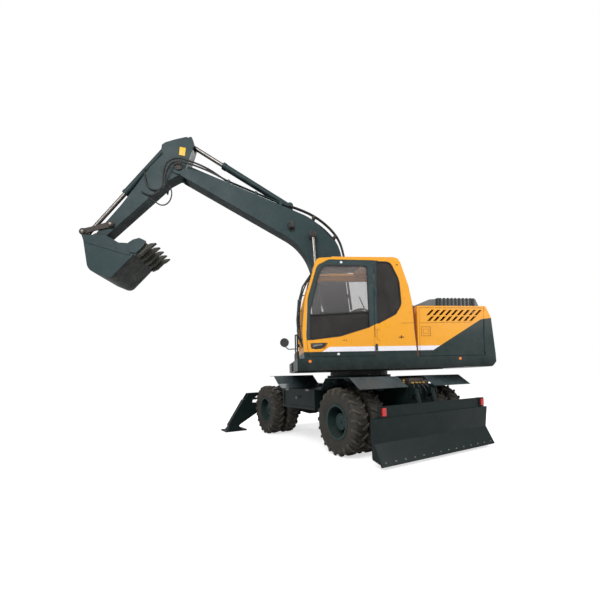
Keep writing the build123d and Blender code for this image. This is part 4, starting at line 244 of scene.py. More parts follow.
def body_paint(name, door=False, cab=False):
    material, tree, shader, place = new_material(name)
    x, y, z = own_axes(tree, place)
    band_top = calc(tree, "MINIMUM", line(tree, x, *BAND_CLIMB), line(tree, x, *BAND_FLAT))
    below = where(tree, (z, "<", highest(tree, band_top, BAND_FOOT_Z)))
    tail = where(tree, (x, "<", TAIL_X), (z, "<", line(tree, x, *TAIL_EDGE)))
    dark = highest(tree, below, tail)
    outward = calc(tree, "ABSOLUTE", y)
    stripe_end = line(tree, z, *STRIPE_END)
    stripe = where(tree, (z, "<", STRIPE_TOP_Z), (x, "<", stripe_end), (outward, ">", STRIPE_Y))
    fade = noise(tree, place, 1.6, 2.0)
    yellow = mixed(tree, ramped(tree, fade, 0.3, 0.8), YELLOW, YELLOW_DULL)
    colour = mixed(tree, stripe, yellow, STRIPE_WHITE)
    # painted shade: the skirt is painted darker towards the bottom, fully dark below 1.3 m
    skirt = mixed(tree, ramped(tree, z, *SKIRT_SHADE_Z), SKIRT_SHADE, BAND_GREEN)
    colour = mixed(tree, dark, colour, skirt)
    if door or cab:
        sill = highest(tree, *(line(tree, x, *sill_line) for sill_line in SILL_LINES))
        post = (z, "<", CAB_TOP_Z), (x, "<", POST_X[1]), (x, ">", POST_X[0]), (y, ">", POST_Y)
        colour = mixed(tree, where(tree, (z, ">", sill), *(post if cab else ())), colour, SLATE)
    if cab:
        from_middle = calc(tree, "ABSOLUTE", calc(tree, "SUBTRACT", y, CAB_MIDDLE_Y))
        inside = where(tree, (from_middle, "<", LINING_HALF), (x, "<", LINING_X[1]), (x, ">", LINING_X[0]),
                       (z, "<", LINING_TOP_Z))
        colour = mixed(tree, inside, colour, CAB_LINING)
    finish_paint(tree, shader, place, colour, mixed(tree, BODY_DUST_KEPT, BODY_DUST, colour))
    return material


side_paint = body_paint("side_paint")
cab_paint = body_paint("cab_paint", cab=True)
door_paint = body_paint("door_paint", door=True)

# %% [markdown]
# The booms are a slate green, a shade paler on top where dust settles.  The undercarriage is nearly
# black green.  Both are the same satin paint with other colours, so one function mixes them, and it
# paints shade onto faces that point downwards.  The bucket's inside is worn brown.

# %% Satin paints
# painted shade: the satin paints darken to this colour on faces that point downwards
UNDERSIDE_SHADE = (0.003, 0.007, 0.007, 1)
UNDERSIDE_SHADE_NORMAL = (-0.1, -0.6)  # the normal's upward part where the dark starts and where it is full
BUCKET_BROWN = (0.04, 0.037, 0.026, 1)
BUCKET_MIDDLE_Y = -0.09
BUCKET_HALF = 0.452
SLATE_PALE = (0.05, 0.068, 0.07, 1)
DARK_GREEN = (0.007, 0.014, 0.013, 1)
DARK_GREEN_DUSTY = (0.018, 0.03, 0.029, 1)


def satin_paint(name, colour, dusty, rough=0.42, dust_from=0.45, worn_inside=None):
    material, tree, shader, place = new_material(name)
    if worn_inside:
        y = own_axes(tree, place)[1]
        from_middle = calc(tree, "ABSOLUTE", calc(tree, "ADD", y, -BUCKET_MIDDLE_Y))
        colour = mixed(tree, where(tree, (from_middle, "<", worn_inside)), colour, BUCKET_BROWN)
    facing = add_node(tree, "ShaderNodeNewGeometry").outputs["Normal"]
    upward = add_node(tree, "ShaderNodeSeparateXYZ", None, Vector=facing).outputs[2]
    cloud = noise(tree, place, 2.2, 6.0)
    lying = calc(tree, "MULTIPLY", ramped(tree, upward, 0.2, 1.0), ramped(tree, cloud, 0.3, 0.75))
    base = mixed(tree, lying, colour, dusty)
    # painted shade: faces that point downwards are darkened, whatever the part
    base = mixed(tree, ramped(tree, upward, *UNDERSIDE_SHADE_NORMAL), base, UNDERSIDE_SHADE)
    streak = ramped(tree, noise(tree, place, 14.0, 6.0), dust_from, 0.9)
    finish_paint(tree, shader, place, base, mixed(tree, streak, colour, dusty), rough, 0.03, 0.0, 0.16)
    return material


slate_paint = satin_paint("slate_paint", SLATE, SLATE_PALE, 0.4)
bucket_paint = satin_paint("bucket_paint", SLATE, SLATE_PALE, 0.42, worn_inside=BUCKET_HALF)
dark_paint = satin_paint("dark_paint", DARK_GREEN, DARK_GREEN_DUSTY, 0.36)
rim_paint = satin_paint("rim_paint", (0.02, 0.04, 0.038, 1), (0.07, 0.075, 0.065, 1), 0.45)
sheet_paint = satin_paint("sheet_paint", (0.02, 0.032, 0.034, 1), (0.11, 0.14, 0.155, 1), 0.3, 0.3)

# %% [markdown]
# Rubber is a dark warm grey that dust turns brown.  Steel parts are plain metal, with chrome on the
# rods and brass on the elbows.

# %% Rubber, steel, plastic and enamel


def plain(name, colour, second, scale, rough, metal, bump, depth, fine):
    material, tree, shader, place = new_material(name)
    cloud = ramped(tree, noise(tree, place, scale, 6.0, 0.6), 0.35, 0.7)
    roughness = ramped(tree, cloud, 0.0, 1.0, rough, rough + 0.2)
    bumped(tree, shader, noise(tree, place, fine, 4.0), bump, depth)
    colour = mixed(tree, cloud, (*colour, 1), (*second, 1))
    feed(tree, shader, Base_Color=colour, Roughness=roughness, Metallic=metal)
    return material


PLAIN_FINISHES = (
    # name, two colours, their cloud's scale, roughness, metal, then the bump's strength, depth and scale
    ("tyre_rubber", (0.013, 0.0115, 0.0095), (0.04, 0.034, 0.026), 5.0, 0.62, 0.0, 0.35, 0.003, 60.0),
    ("lug_rubber", (0.02, 0.0175, 0.014), (0.085, 0.072, 0.054), 9.0, 0.66, 0.0, 0.4, 0.003, 60.0),
    ("hose_rubber", (0.01, 0.011, 0.011), (0.022, 0.022, 0.021), 12.0, 0.45, 0.0, 0.2, 0.0006, 400.0),
    ("black_plastic", (0.012, 0.013, 0.014), (0.022, 0.023, 0.024), 18.0, 0.42, 0.0, 0.15, 0.0005, 500.0),
    ("chrome", (0.22, 0.2, 0.19), (0.16, 0.15, 0.14), 20.0, 0.16, 1.0, 0.01, 0.0002, 200.0),
    ("bare_steel", (0.3, 0.3, 0.29), (0.16, 0.14, 0.12), 16.0, 0.32, 1.0, 0.12, 0.0008, 150.0),
    ("dark_iron", (0.022, 0.018, 0.015), (0.055, 0.04, 0.03), 10.0, 0.45, 0.3, 0.3, 0.001, 120.0),
    ("engine_iron", (0.05, 0.05, 0.05), (0.12, 0.11, 0.1), 6.0, 0.5, 0.4, 0.2, 0.001, 90.0),
    ("brass", (0.62, 0.42, 0.14), (0.45, 0.3, 0.1), 40.0, 0.25, 1.0, 0.05, 0.0003, 300.0),
    ("white_enamel", (0.8, 0.8, 0.78), (0.7, 0.7, 0.68), 30.0, 0.3, 0.0, 0.03, 0.0003, 200.0),
    ("plate_yellow", (0.85, 0.5, 0.02), (0.75, 0.42, 0.03), 25.0, 0.35, 0.0, 0.03, 0.0003, 200.0),
    ("seal_rubber", (0.006, 0.006, 0.007), (0.012, 0.012, 0.012), 30.0, 0.5, 0.0, 0.1, 0.0004, 300.0),
    # this brown also draws the painted shade along the side's crease
    ("seam_and_shade_brown", (0.16, 0.03, 0.008), (0.09, 0.016, 0.005), 20.0, 0.5, 0.0, 0.1, 0.0004, 300.0),
)
(tyre_rubber, lug_rubber, hose_rubber, black_plastic, chrome, bare_steel, dark_iron, engine_iron, brass,
 white_enamel, plate_yellow, seal_rubber, seam_and_shade_brown) = [plain(*row) for row in PLAIN_FINISHES]

# %% [markdown]
# A lamp's lens is ribbed and glows faintly.  The door's glass is clearer above its sash, with a painted
# reflection there that grows paler towards the top, and the cab's other panes are dark on the left side
# and clearer on the right.

# %% Lenses and glass


def lens(name, colour, glow):
    material, tree, shader, place = new_material(name)
    ribs = waves(tree, place, "Z", 60.0)
    shade = tuple(0.75 * c for c in colour[:3]) + (1,)
    bumped(tree, shader, ribs, 0.3, 0.001)
    feed(tree, shader, Base_Color=mixed(tree, ribs, colour, shade), Roughness=0.12, Coat_Weight=0.6,
         Emission_Color=colour, Emission_Strength=glow)
    return material


red_lens = lens("red_lens", (0.5, 0.012, 0.014, 1), 0.05)
orange_lens = lens("orange_lens", (0.85, 0.2, 0.02, 1), 0.08)
GLASS_TINT = (0.022, 0.02, 0.019)
GLASS_PALE = tuple(1.8 * c for c in GLASS_TINT)
# painted reflection: the door's upper pane grows paler from the low colour to the high one
GLASS_REFLECTION = ((0.16, 0.155, 0.155, 1), (0.3, 0.285, 0.285, 1))  # low and high in the door's upper pane
REFLECTION_Z = (2.2, 3.0)
FAR_GREY = (0.3, 0.3, 0.3, 1)
NEAR_Y = 1.1
SASH_LINE = (1.076, 2.223, -0.05625)  # a point's x and z, and the slope
DOOR_OPACITY = (0.93, 0.24)  # below and above the sash
CAB_OPACITY = (0.18, 0.9)  # on the far side and on the near side


def window_glass(name, sash):
    material, tree, shader, place = new_material(name)
    x, y, z = own_axes(tree, place)
    smear = ramped(tree, noise(tree, place, 2.5, 3.0), 0.35, 0.75)
    colour = mixed(tree, smear, (*GLASS_TINT, 1), (*GLASS_PALE, 1))
    if sash:
        part = where(tree, (z, ">", line(tree, x, *SASH_LINE)))
        # painted reflection: above the sash the glass turns paler towards the top
        colour = mixed(tree, part, colour, mixed(tree, ramped(tree, z, *REFLECTION_Z), *GLASS_REFLECTION))
        start, end = DOOR_OPACITY
    else:
        part = where(tree, (y, ">", NEAR_Y))
        colour = mixed(tree, part, FAR_GREY, colour)
        start, end = CAB_OPACITY
    opacity = calc(tree, "MULTIPLY_ADD", part, end - start, start)
    feed(tree, shader, Base_Color=colour, Alpha=opacity, Roughness=0.06, IOR=1.5)
    return material


door_pane = window_glass("door_pane", True)
dark_pane = window_glass("dark_pane", False)

# %% [markdown]
# The seat's cloth is a fine weave.  The engine cover is grey, with its straps and its ribs black.

# %% Cloth and the engine cover


def cloth(name, colour, thread):
    material, tree, shader, place = new_material(name)
    weave = calc(tree, "MULTIPLY", waves(tree, place, "X", 120.0), waves(tree, place, "Z", 120.0))
    bumped(tree, shader, weave, 0.4, 0.001)
    feed(tree, shader, Base_Color=mixed(tree, weave, colour, thread), Roughness=0.85, Sheen_Weight=0.3)
    return material


seat_cloth = cloth("seat_cloth", (0.01, 0.03, 0.035, 1), (0.024, 0.046, 0.052, 1))
STRAP_X = ((-1.4, -1.345), (-2.13, -2.075))
RIBS_X = -1.4
STRAP_FOOT_Z = 2.462
RIB_Z = 2.645
RIB_Y = 0.613


def cover_with_bands(name):
    material, tree, shader, place = new_material(name)
    x, y, z = own_axes(tree, place)
    first, second = (where(tree, (x, ">", low), (x, "<", high)) for low, high in STRAP_X)
    outward = calc(tree, "ABSOLUTE", y)
    ribs = [where(tree, side, (x, "<", RIBS_X)) for side in ((z, ">", RIB_Z), (outward, ">", RIB_Y))]
    black = calc(tree, "MULTIPLY", highest(tree, first, second, *ribs), where(tree, (z, ">", STRAP_FOOT_Z)))
    cloud = ramped(tree, noise(tree, place, 4.0, 5.0), 0.3, 0.8)
    grey = mixed(tree, cloud, (0.085, 0.105, 0.115, 1), (0.17, 0.19, 0.2, 1))
    colour = mixed(tree, black, grey, (0.01, 0.012, 0.013, 1))
    finish_paint(tree, shader, place, colour, colour, 0.36, 0.02)
    return material


cover_banded = cover_with_bands("cover_banded")
print("materials", len(bpy.data.materials))

# %% [markdown]
# Each CAD node keeps its shape and takes its finish here.  Rods are chrome.  The rams of the blade and
# the outriggers are painted like the undercarriage, and those of the boom like the boom.

# %% Finishes of the CAD nodes
FINISHES = (
    (dark_paint, "chassis rear_axle front_axle knuckle_left knuckle_right toolbox_left toolbox_right"),
    (dark_paint, "blade steps"),
    (side_paint, "deck hood counterweight side_door_left side_door_right tank"),
    (slate_paint, "handrails boom arm boom_pipes"), (bucket_paint, "bucket"), (sheet_paint, "mudguards"),
    (cab_paint, "cab"), (door_paint, "cab_door"), (dark_pane, "cab_glass"), (door_pane, "door_glass"),
    (black_plastic, "cab_controls mirror work_lamp"), (dark_iron, "transmission bucket_link idler_links"),
    (engine_iron, "engine"), (cover_banded, "engine_lid"), (seat_cloth, "seat"), (red_lens, "blade_lamps"),
    (orange_lens, "skirt_lamps"),
)
NAMED = {node: finish for finish, nodes in FINISHES for node in nodes.split()}


def finish_of(node):
    if node in NAMED:
        return NAMED[node]
    if node.startswith("wheel_"):
        return rim_paint
    if node.startswith("tyres_"):
        return tyre_rubber
    if "rod" in node:
        return chrome
    if node.startswith(("blade", "outrigger")):
        return dark_paint
    return slate_paint


for node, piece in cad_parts.items():
    piece.data.materials.clear()
    piece.data.materials.append(finish_of(node))

# %% [markdown]
# Loose pieces are modelled as by hand: a primitive, shaped in edit mode, with a bevel that is applied.
# The helpers write the piece's place into its mesh, because a piece has to sit at the origin to be
# carried along by its joint.  Then dress gives it its name, material and body.

# %% Helpers for modelling


def leave():
    bpy.ops.object.mode_set(mode="OBJECT")


def edit(action="SELECT"):
    bpy.ops.object.mode_set(mode="EDIT")
    bpy.ops.mesh.select_all(action=action)


def deselect():
    if bpy.context.mode != "OBJECT":
        leave()
    bpy.ops.object.select_all(action="DESELECT")


def primitive(kind, **settings):
    deselect()
    getattr(bpy.ops.mesh, f"primitive_{kind}_add")(**settings)
    return bpy.context.object


def linked(name, data):
    piece = bpy.data.objects.new(name, data)
    bpy.context.collection.objects.link(piece)
    return piece


def settle(piece, axes, place):
    """Writes the piece's place, in the axes given, into its mesh."""
    piece.matrix_world = Matrix.Identity(4)
    piece.data.transform(axes @ place)
    piece.data.update()


def dress(piece, name, material, body):
    piece.name = name
    piece.data.materials.clear()
    piece.data.materials.append(material)
    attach(piece, body)
    return piece


def applied(piece, kind, **settings):
    modifier = piece.modifiers.new(kind.lower(), kind)
    for key, value in settings.items():
        setattr(modifier, key, value)
    bpy.context.view_layer.objects.active = piece
    bpy.ops.object.modifier_apply(modifier=modifier.name)


def bevelled(piece, width, segments=2):
    sharp = math.radians(28)
    applied(piece, "BEVEL", width=width, segments=segments, limit_method="ANGLE", angle_limit=sharp)


def smoothed(piece, angle=35):
    deselect()
    piece.select_set(True)
    bpy.context.view_layer.objects.active = piece
    bpy.ops.object.shade_smooth_by_angle(angle=math.radians(angle))
    piece.select_set(False)


def finished(piece, axes, place=GROUND):
    settle(piece, axes, place)
    smoothed(piece)
    return piece


def block(size, at, axes, bevel=0.004, tilt=0.0, taper=1.0):
    """A bevelled block in the given axes, tilted about their y.  A taper under 1 narrows its top."""
    piece = primitive("cube", size=1)
    edit()
    bpy.ops.transform.resize(value=size)
    leave()
    if taper != 1.0:
        for vertex in piece.data.vertices:
            if vertex.co.z > 0:
                vertex.co.x *= taper
                vertex.co.y *= taper
    bevelled(piece, bevel)
    return finished(piece, axes, Matrix.Translation(at) @ pitched(tilt))


def sheet_outline(outline, depth, y, axes, bevel):
    """A flat plate with the outline given as x, z points, standing depth proud of y towards +y."""
    piece = primitive("circle", vertices=len(outline), radius=1, fill_type="NGON")
    for vertex, (x, z) in zip(piece.data.vertices, outline):
        vertex.co = (x, y, z)
    edit()
    bpy.ops.mesh.extrude_region_move(TRANSFORM_OT_translate={"value": (0, depth, 0)})
    bpy.ops.mesh.select_all(action="SELECT")
    bpy.ops.mesh.normals_make_consistent(inside=False)
    leave()
    bevelled(piece, bevel)
    return finished(piece, axes)


FACING = {1: "Y", -1: "-Y"}  # for pieces on the machine's left and right
STUD_TURNS = {"Y": (-90, "X"), "-Y": (90, "X"), "X": (90, "Y"), "-X": (-90, "Y"), "Z": (0, "Z")}


def stud(radius, depth, at, axes, sides=24, direction="Y", step=0.0, bevel=0.002):
    """A round or hexagonal head that points along an axis, with a smaller step on its face."""
    piece = primitive("cylinder", vertices=sides, radius=radius, depth=depth)
    if step > 0:
        edit("DESELECT")
        leave()
        for face in piece.data.polygons:
            face.select = face.normal.z > 0.9
        bpy.ops.object.mode_set(mode="EDIT")
        bpy.ops.mesh.inset(thickness=radius * 0.35)
        bpy.ops.mesh.extrude_region_move(TRANSFORM_OT_translate={"value": (0, 0, step)})
        leave()
    bevelled(piece, bevel, 1)
    angle, axis = STUD_TURNS[direction]
    return finished(piece, axes, Matrix.Translation(at) @ Matrix.Rotation(math.radians(angle), 4, axis))


def merged(pieces):
    deselect()
    for piece in pieces:
        piece.select_set(True)
    bpy.context.view_layer.objects.active = pieces[0]
    if len(pieces) > 1:
        bpy.ops.object.join()
    return pieces[0]


def copied(original, place):
    copy = original.copy()
    copy.data = original.data.copy()
    bpy.context.collection.objects.link(copy)
    copy.data.transform(place)
    return copy


def dropped(*pieces):
    for piece in pieces:
        bpy.data.objects.remove(piece)


# %% [markdown]
# ## Tyres
# The tyres are traction tyres: stout rubber bars set in a chevron, each running from the middle of
# the tread over the shoulder.  The carcass is an outline spun about the axle.  One bar is drawn out of
# a cube, face by face, and then copied round, left bars and right bars half a pitch apart.

# %% Tyres
TYRE_R = 0.535
BARS = 21
WHEELS = {
    # the axle's x, and the side
    "rear_left": (-0.95, 1), "rear_right": (-0.95, -1),
    "front_left": (1.85, 1), "front_right": (1.85, -1),
}
TYRE_PLACES = (1.1125, 0.7675)
FLANK = (
    # across the tyre from its middle, and from the axle
    (0.096, 0.262), (0.103, 0.292), (0.121, 0.318), (0.1345, 0.372), (0.137, 0.42), (0.1325, 0.462),
    (0.116, 0.496), (0.075, 0.508),
)
CARCASS = [(-across, out) for across, out in FLANK] + [(0.0, 0.511)] + [*reversed(FLANK)] + [(0.0, 0.258)]
BAR_STATIONS = (
    # across, lead along the tread, width, foot and top from the axle
    (0.01, -0.03, 0.04, 0.5, 0.5345),
    (0.05, -0.018, 0.042, 0.498, 0.5345),
    (0.088, 0.012, 0.046, 0.494, 0.533),
    (0.122, 0.03, 0.052, 0.47, 0.524),
    (0.1372, 0.034, 0.054, 0.44, 0.498),
    (0.1382, 0.034, 0.05, 0.42, 0.452),
)


def carcass():
    piece = primitive("circle", vertices=len(CARCASS), radius=1)
    for vertex, (across, out) in zip(piece.data.vertices, CARCASS):
        vertex.co = (0, across, out)
    edit()
    bpy.ops.mesh.spin(steps=64, angle=math.tau, center=(0, 0, 0), axis=(0, 1, 0))
    bpy.ops.mesh.select_all(action="SELECT")
    bpy.ops.mesh.remove_doubles(threshold=0.0004)
    bpy.ops.mesh.normals_make_consistent(inside=False)
    leave()
    smoothed(piece, 50)
    return piece


def station(across, lead, width, foot, top):
    half = width / 2
    return ((lead - half, across, foot), (lead + half, across, foot), (lead + 0.78 * half, across, top),
            (lead - 0.78 * half, across, top))


def tread_bar(mirror):
    """A bar drawn out of a cube: its end face is extruded and moved to one station after another."""
    piece = primitive("cube", size=1)
    mesh = piece.data
    corners = {(-1, -1): 0, (1, -1): 1, (1, 1): 2, (-1, 1): 3}
    for vertex in mesh.vertices:
        key = (1 if vertex.co.x > 0 else -1, 1 if vertex.co.z > 0 else -1)
        vertex.co = Vector(station(*BAR_STATIONS[1 if vertex.co.y > 0 else 0])[corners[key]])
    for old, goal in zip(BAR_STATIONS[1:], BAR_STATIONS[2:]):
        far = max(vertex.co.y for vertex in mesh.vertices)
        for vertex in mesh.vertices:
            vertex.select = abs(vertex.co.y - far) < 1e-6
        for part in (*mesh.polygons, *mesh.edges):
            part.select = all(mesh.vertices[i].select for i in part.vertices)
        bpy.ops.object.mode_set(mode="EDIT")
        bpy.ops.mesh.extrude_region_move()
        leave()
        for vertex in mesh.vertices:
            if vertex.select:
                nearest = min(range(4), key=lambda k: (vertex.co - Vector(station(*old)[k])).length)
                vertex.co = Vector(station(*goal)[nearest])
    bevelled(piece, 0.005, 1)
    if mirror:
        for vertex in piece.data.vertices:
            vertex.co.y *= -1
        piece.data.flip_normals()
    return piece


def ringed(original, count, start):
    turns = [start + math.tau * number / count for number in range(count)]
    return [copied(original, Matrix.Rotation(turn, 4, "Y")) for turn in turns]


bar_out, bar_in = tread_bar(False), tread_bar(True)
tread = merged(ringed(bar_out, BARS, 0.0) + ringed(bar_in, BARS, math.tau / BARS / 2))
smoothed(tread, 30)
casing = carcass()
dropped(bar_out, bar_in)
for name, (axle_x, side) in WHEELS.items():
    places = [Matrix.Translation((axle_x, side * y, TYRE_R)) for y in TYRE_PLACES]
    casings = merged([copied(casing, place) for place in places])
    dress(casings, f"casing_{name}", tyre_rubber, f"wheel_{name}")
    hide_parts(f"tyres_{name}")
    treads = merged([copied(tread, place) for place in places])
    dress(treads, f"tread_{name}", lug_rubber, f"wheel_{name}")
dropped(casing, tread)
print("tyres done")

# %% [markdown]
# ## Wheel nuts
# Ten nuts hold each wheel to its hub, and a ring of small bolts closes the hub's cap.

# %% Wheel nuts and caps
nut = stud(0.017, 0.03, (0, 0, 0), GROUND, sides=6, step=0.008)
bolt = stud(0.009, 0.014, (0, 0, 0), GROUND, sides=6)
for name, (axle_x, side) in WHEELS.items():
    pieces = []
    for original, count, radius, y in ((nut, 10, 0.155, 0.985), (bolt, 8, 0.102, 1.139)):
        for number in range(count):
            angle = math.tau * number / count
            at = (axle_x + radius * math.cos(angle), side * y, TYRE_R + radius * math.sin(angle))
            pieces.append(copied(original, Matrix.Translation(at)))
    pieces.append(stud(0.034, 0.016, (axle_x, side * 1.142, TYRE_R), GROUND, 24, FACING[side], 0.006))
    dress(merged(pieces), f"wheel_nuts_{name}", rim_paint, f"wheel_{name}")
dropped(nut, bolt)

# %% [markdown]
# ## Hoses
# Hydraulic hoses are stiff rubber tubes that keep a smooth bow between two fittings.  Where a hose
# crosses a joint its tube is made a mesh and left in place, attached to no body.

# %% Helper for hoses


def meshed(curve):
    bpy.context.view_layer.update()
    return bpy.data.meshes.new_from_object(curve.evaluated_get(bpy.context.evaluated_depsgraph_get()))


def hose_run(points, radius, axes, name, body, other=None):
    """A hose between two fittings on the machine.  When other is given, the hose crosses a joint and is
    attached to no body.
    """
    data = bpy.data.curves.new(name, "CURVE")
    data.dimensions = "3D"
    data.bevel_resolution = 3
    data.resolution_u = 8
    data.use_fill_caps = True
    spline = data.splines.new("NURBS")
    spline.points.add(len(points) - 1)
    for point, place in zip(spline.points, points):
        point.co = (*(axes @ Vector(place)), 1)
    spline.order_u = 3
    spline.use_endpoint_u = True
    curve = linked(name + "_line", data)
    path = [vertex.co.copy() for vertex in meshed(curve).vertices]
    data.bevel_depth = radius
    mesh = meshed(curve)
    bpy.data.objects.remove(curve)
    hose = linked(name, mesh)
    mesh.materials.clear()
    mesh.materials.append(hose_rubber)
    for polygon in mesh.polygons:
        polygon.use_smooth = True
    if other:
        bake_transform(hose)
    else:
        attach(hose, body)


# %% Hoses over the boom's bend and down to the deck
BOOM_TOP_HOSES = (
    # sideways place, radius
    (-0.112, 0.016), (-0.072, 0.016), (0.1, 0.016), (0.137, 0.013),
)
BEND_RUN = (
    (2.64, 1.018), (2.42, 1.15), (2.14, 1.268), (1.82, 1.325), (1.5, 1.3), (1.2, 1.13), (0.86, 0.88),
    (0.52, 0.625), (0.38, 0.52),
)
for number, (y, radius) in enumerate(BOOM_TOP_HOSES):
    run = [(x, y, z + 0.006 * number) for x, z in BEND_RUN]
    hose_run(run, radius, BOOM, f"boom_hose_{number + 1}", "boom")
FOOT_RUN = ((0.106, 2.496), (-0.1, 2.6), (-0.36, 2.46), (-0.44, 2.1), (-0.42, 1.75), (-0.4, 1.545))
for number, (y, radius) in enumerate(BOOM_TOP_HOSES):
    run = [(x + 0.01 * number, y - 0.09, z) for x, z in reversed(FOOT_RUN)]
    hose_run(run, radius, UPPER, f"foot_hose_{number + 1}", "upper", "boom")

# %% [markdown]
# At the boom's tip the hoses leave their pipes, swing round the outside of the pin and run down the
# side of the arm.  One more hose hangs in a bow below the arm.

# %% Hoses at the boom's tip
HIGH_RUN = (
    (3.735, 0.106, 0.476), (3.98, 0.13, 0.42), (4.22, 0.18, 0.3), (4.38, 0.205, 0.19),
    (4.52, 0.21, 0.11), (4.6, 0.205, -0.08), (4.55, 0.19, -0.23), (4.45, 0.165, -0.345),
    (4.36, 0.142, -0.457),
)
LOW_RUN = (
    (3.735, 0.137, 0.476), (3.96, 0.17, 0.38), (4.2, 0.21, 0.24), (4.38, 0.226, 0.12),
    (4.5, 0.23, 0.01), (4.525, 0.226, -0.11), (4.45, 0.205, -0.3), (4.37, 0.175, -0.39),
    (4.33, 0.142, -0.49),
)
for number, run in enumerate((HIGH_RUN, LOW_RUN, [(x, -y, z) for x, y, z in HIGH_RUN])):
    hose_run(run, 0.016, BOOM, f"tip_hose_{number + 1}", "boom", "arm")
LOOP = (
    (0.37, 0.136, -0.15), (0.4, 0.146, -0.225), (0.45, 0.152, -0.285), (0.535, 0.155, -0.34),
    (0.63, 0.155, -0.355), (0.7, 0.152, -0.33), (0.755, 0.146, -0.26), (0.785, 0.136, -0.045),
)
hose_run(LOOP, 0.011, ARM, "tip_loop", "arm")
ARM_RUNS = (
    # the body at the far end, then places in the arm's axes
    ("bucket_ram_barrel", (
        (0.523, 0.142, -0.083), (0.602, 0.152, -0.05), (0.659, 0.152, 0.03), (0.649, 0.15, 0.128),
        (0.575, 0.142, 0.225), (0.51, 0.11, 0.325), (0.46, 0.062, 0.395),
    )),
    (None, (
        (0.561, 0.142, -0.091), (0.672, 0.15, -0.089), (0.74, 0.152, -0.049), (0.784, 0.15, 0.02),
        (0.8, 0.14, 0.1),
    )),
)
for number, (far, run) in enumerate(ARM_RUNS):
    hose_run(run, 0.013, ARM, f"arm_hose_{number + 1}", "arm", far)

# %% [markdown]
# Clips hold the boom's hoses down, and the main pins of the boom, arm and bucket end in bolted caps.

# %% Clips and pin caps
clips = []
for x, z, slant in ((2.16, 1.215, -14), (1.62, 1.262, 6), (1.0, 0.945, 37), (0.62, 0.662, 37)):
    clips.append(block((0.05, 0.3, 0.018), (x, 0.012, z + 0.045), BOOM, 0.003, slant))
    for y in (-0.13, -0.09, -0.02, 0.04, 0.155):
        clips.append(block((0.05, 0.012, 0.07), (x, y, z + 0.012), BOOM, 0.002, slant))
dress(merged(clips), "boom_hose_clips", dark_iron, "boom")


def pin_cap(axes, x, z, y, radius, side):
    pieces = [stud(radius, 0.014, (x, side * y, z), axes, 32, FACING[side], 0.005, 0.003)]
    for number in range(3):
        angle = math.tau * number / 3 + 0.5
        at = (x + radius * 0.62 * math.cos(angle), side * (y + 0.01), z + radius * 0.62 * math.sin(angle))
        pieces.append(stud(0.009, 0.014, at, axes, 6, FACING[side], 0.0, 0.001))
    return pieces


PIN_CAPS = (
    # body, axes, x, z, half width, radius
    ("boom", BOOM, 4.44, 0.0, 0.168, 0.072), ("boom", BOOM, 1.909, 0.948, 0.302, 0.052),
    ("arm", ARM, 1.601, 0.024, 0.171, 0.05), ("bucket", BUCKET, 0.0, 0.0, 0.17, 0.056),
    ("bucket", BUCKET, -0.075, 0.305, 0.17, 0.048), ("bucket_link", ARM, 2.031, 0.235, 0.168, 0.046),
)
for body in ("boom", "arm", "bucket", "bucket_link"):
    caps = []
    for owner, axes, x, z, half, radius in PIN_CAPS:
        if owner == body:
            caps += pin_cap(axes, x, z, half, radius, 1) + pin_cap(axes, x, z, half, radius, -1)
    dress(merged(caps), f"pin_caps_{body}", dark_iron, body)
for body, x, z, half in (("arm", 1.601, 0.024, 0.171), ("bucket_link", 2.031, 0.235, 0.168)):
    out = half + 0.008
    ends = [stud(0.024, 0.012, (x, side * out, z), ARM, 24, FACING[side], 0.004) for side in (1, -1)]
    dress(merged(ends), f"pin_ends_{body}", bare_steel, body)

# %% [markdown]
# A blank yellow plate sits on the arm's left side.

# %% Arm plate
plate = block((0.15, 0.004, 0.105), (-0.255, 0.128, 0.16), ARM, 0.002, -38)
dress(plate, "arm_plate", plate_yellow, "arm")

# %% [markdown]
# ## Doors
# The cab's door has a black bar across its glass, and a black recess with a bright lever in it.  The
# door's window and the quarter window have rubber seals.  Thin brown strips mark the panels' seams, and a
# brown line along the side's crease is painted shade where the panel folds.

# %% Sash, seals and seams
sash = block((0.985, 0.012, 0.02), (0.598, DOOR_Y - 0.001, 2.25), UPPER, 0.003, -3.2)
dress(sash, "door_sash", seal_rubber, "cab_door")


def strip_along(points, width, depth, y, closed=True):
    """A thin strip that follows x, z points on the upper structure's side, mitred at its corners."""
    count = len(points)
    outer, inner = [], []
    for number, point in enumerate(points):
        here = Vector(point)
        before = Vector(points[number - 1]) if closed or number else here
        after = Vector(points[(number + 1) % count]) if closed or number + 1 < count else here
        into = (here - before).normalized() if (here - before).length else (after - here).normalized()
        out = (after - here).normalized() if (after - here).length else into
        normal = Vector((-(into + out).y, (into + out).x)).normalized()
        stretch = 1 / max(0.5, abs(normal.dot(Vector((-out.y, out.x)))))
        outer.append(here + normal * width / 2 * stretch)
        inner.append(here - normal * width / 2 * stretch)
    cells = count if closed else count - 1
    piece = primitive("grid", x_subdivisions=1, y_subdivisions=cells, size=1)
    rows = sorted({round(vertex.co.y, 5) for vertex in piece.data.vertices})
    for vertex in piece.data.vertices:
        row = rows.index(round(vertex.co.y, 5)) % count
        spot = outer[row] if vertex.co.x > 0 else inner[row]
        vertex.co = (spot.x, y, spot.y)
    edit()
    bpy.ops.mesh.remove_doubles(threshold=0.0001)
    leave()
    applied(piece, "SOLIDIFY", thickness=depth, offset=0)
    edit()
    bpy.ops.mesh.normals_make_consistent(inside=False)
    leave()
    return finished(piece, UPPER)


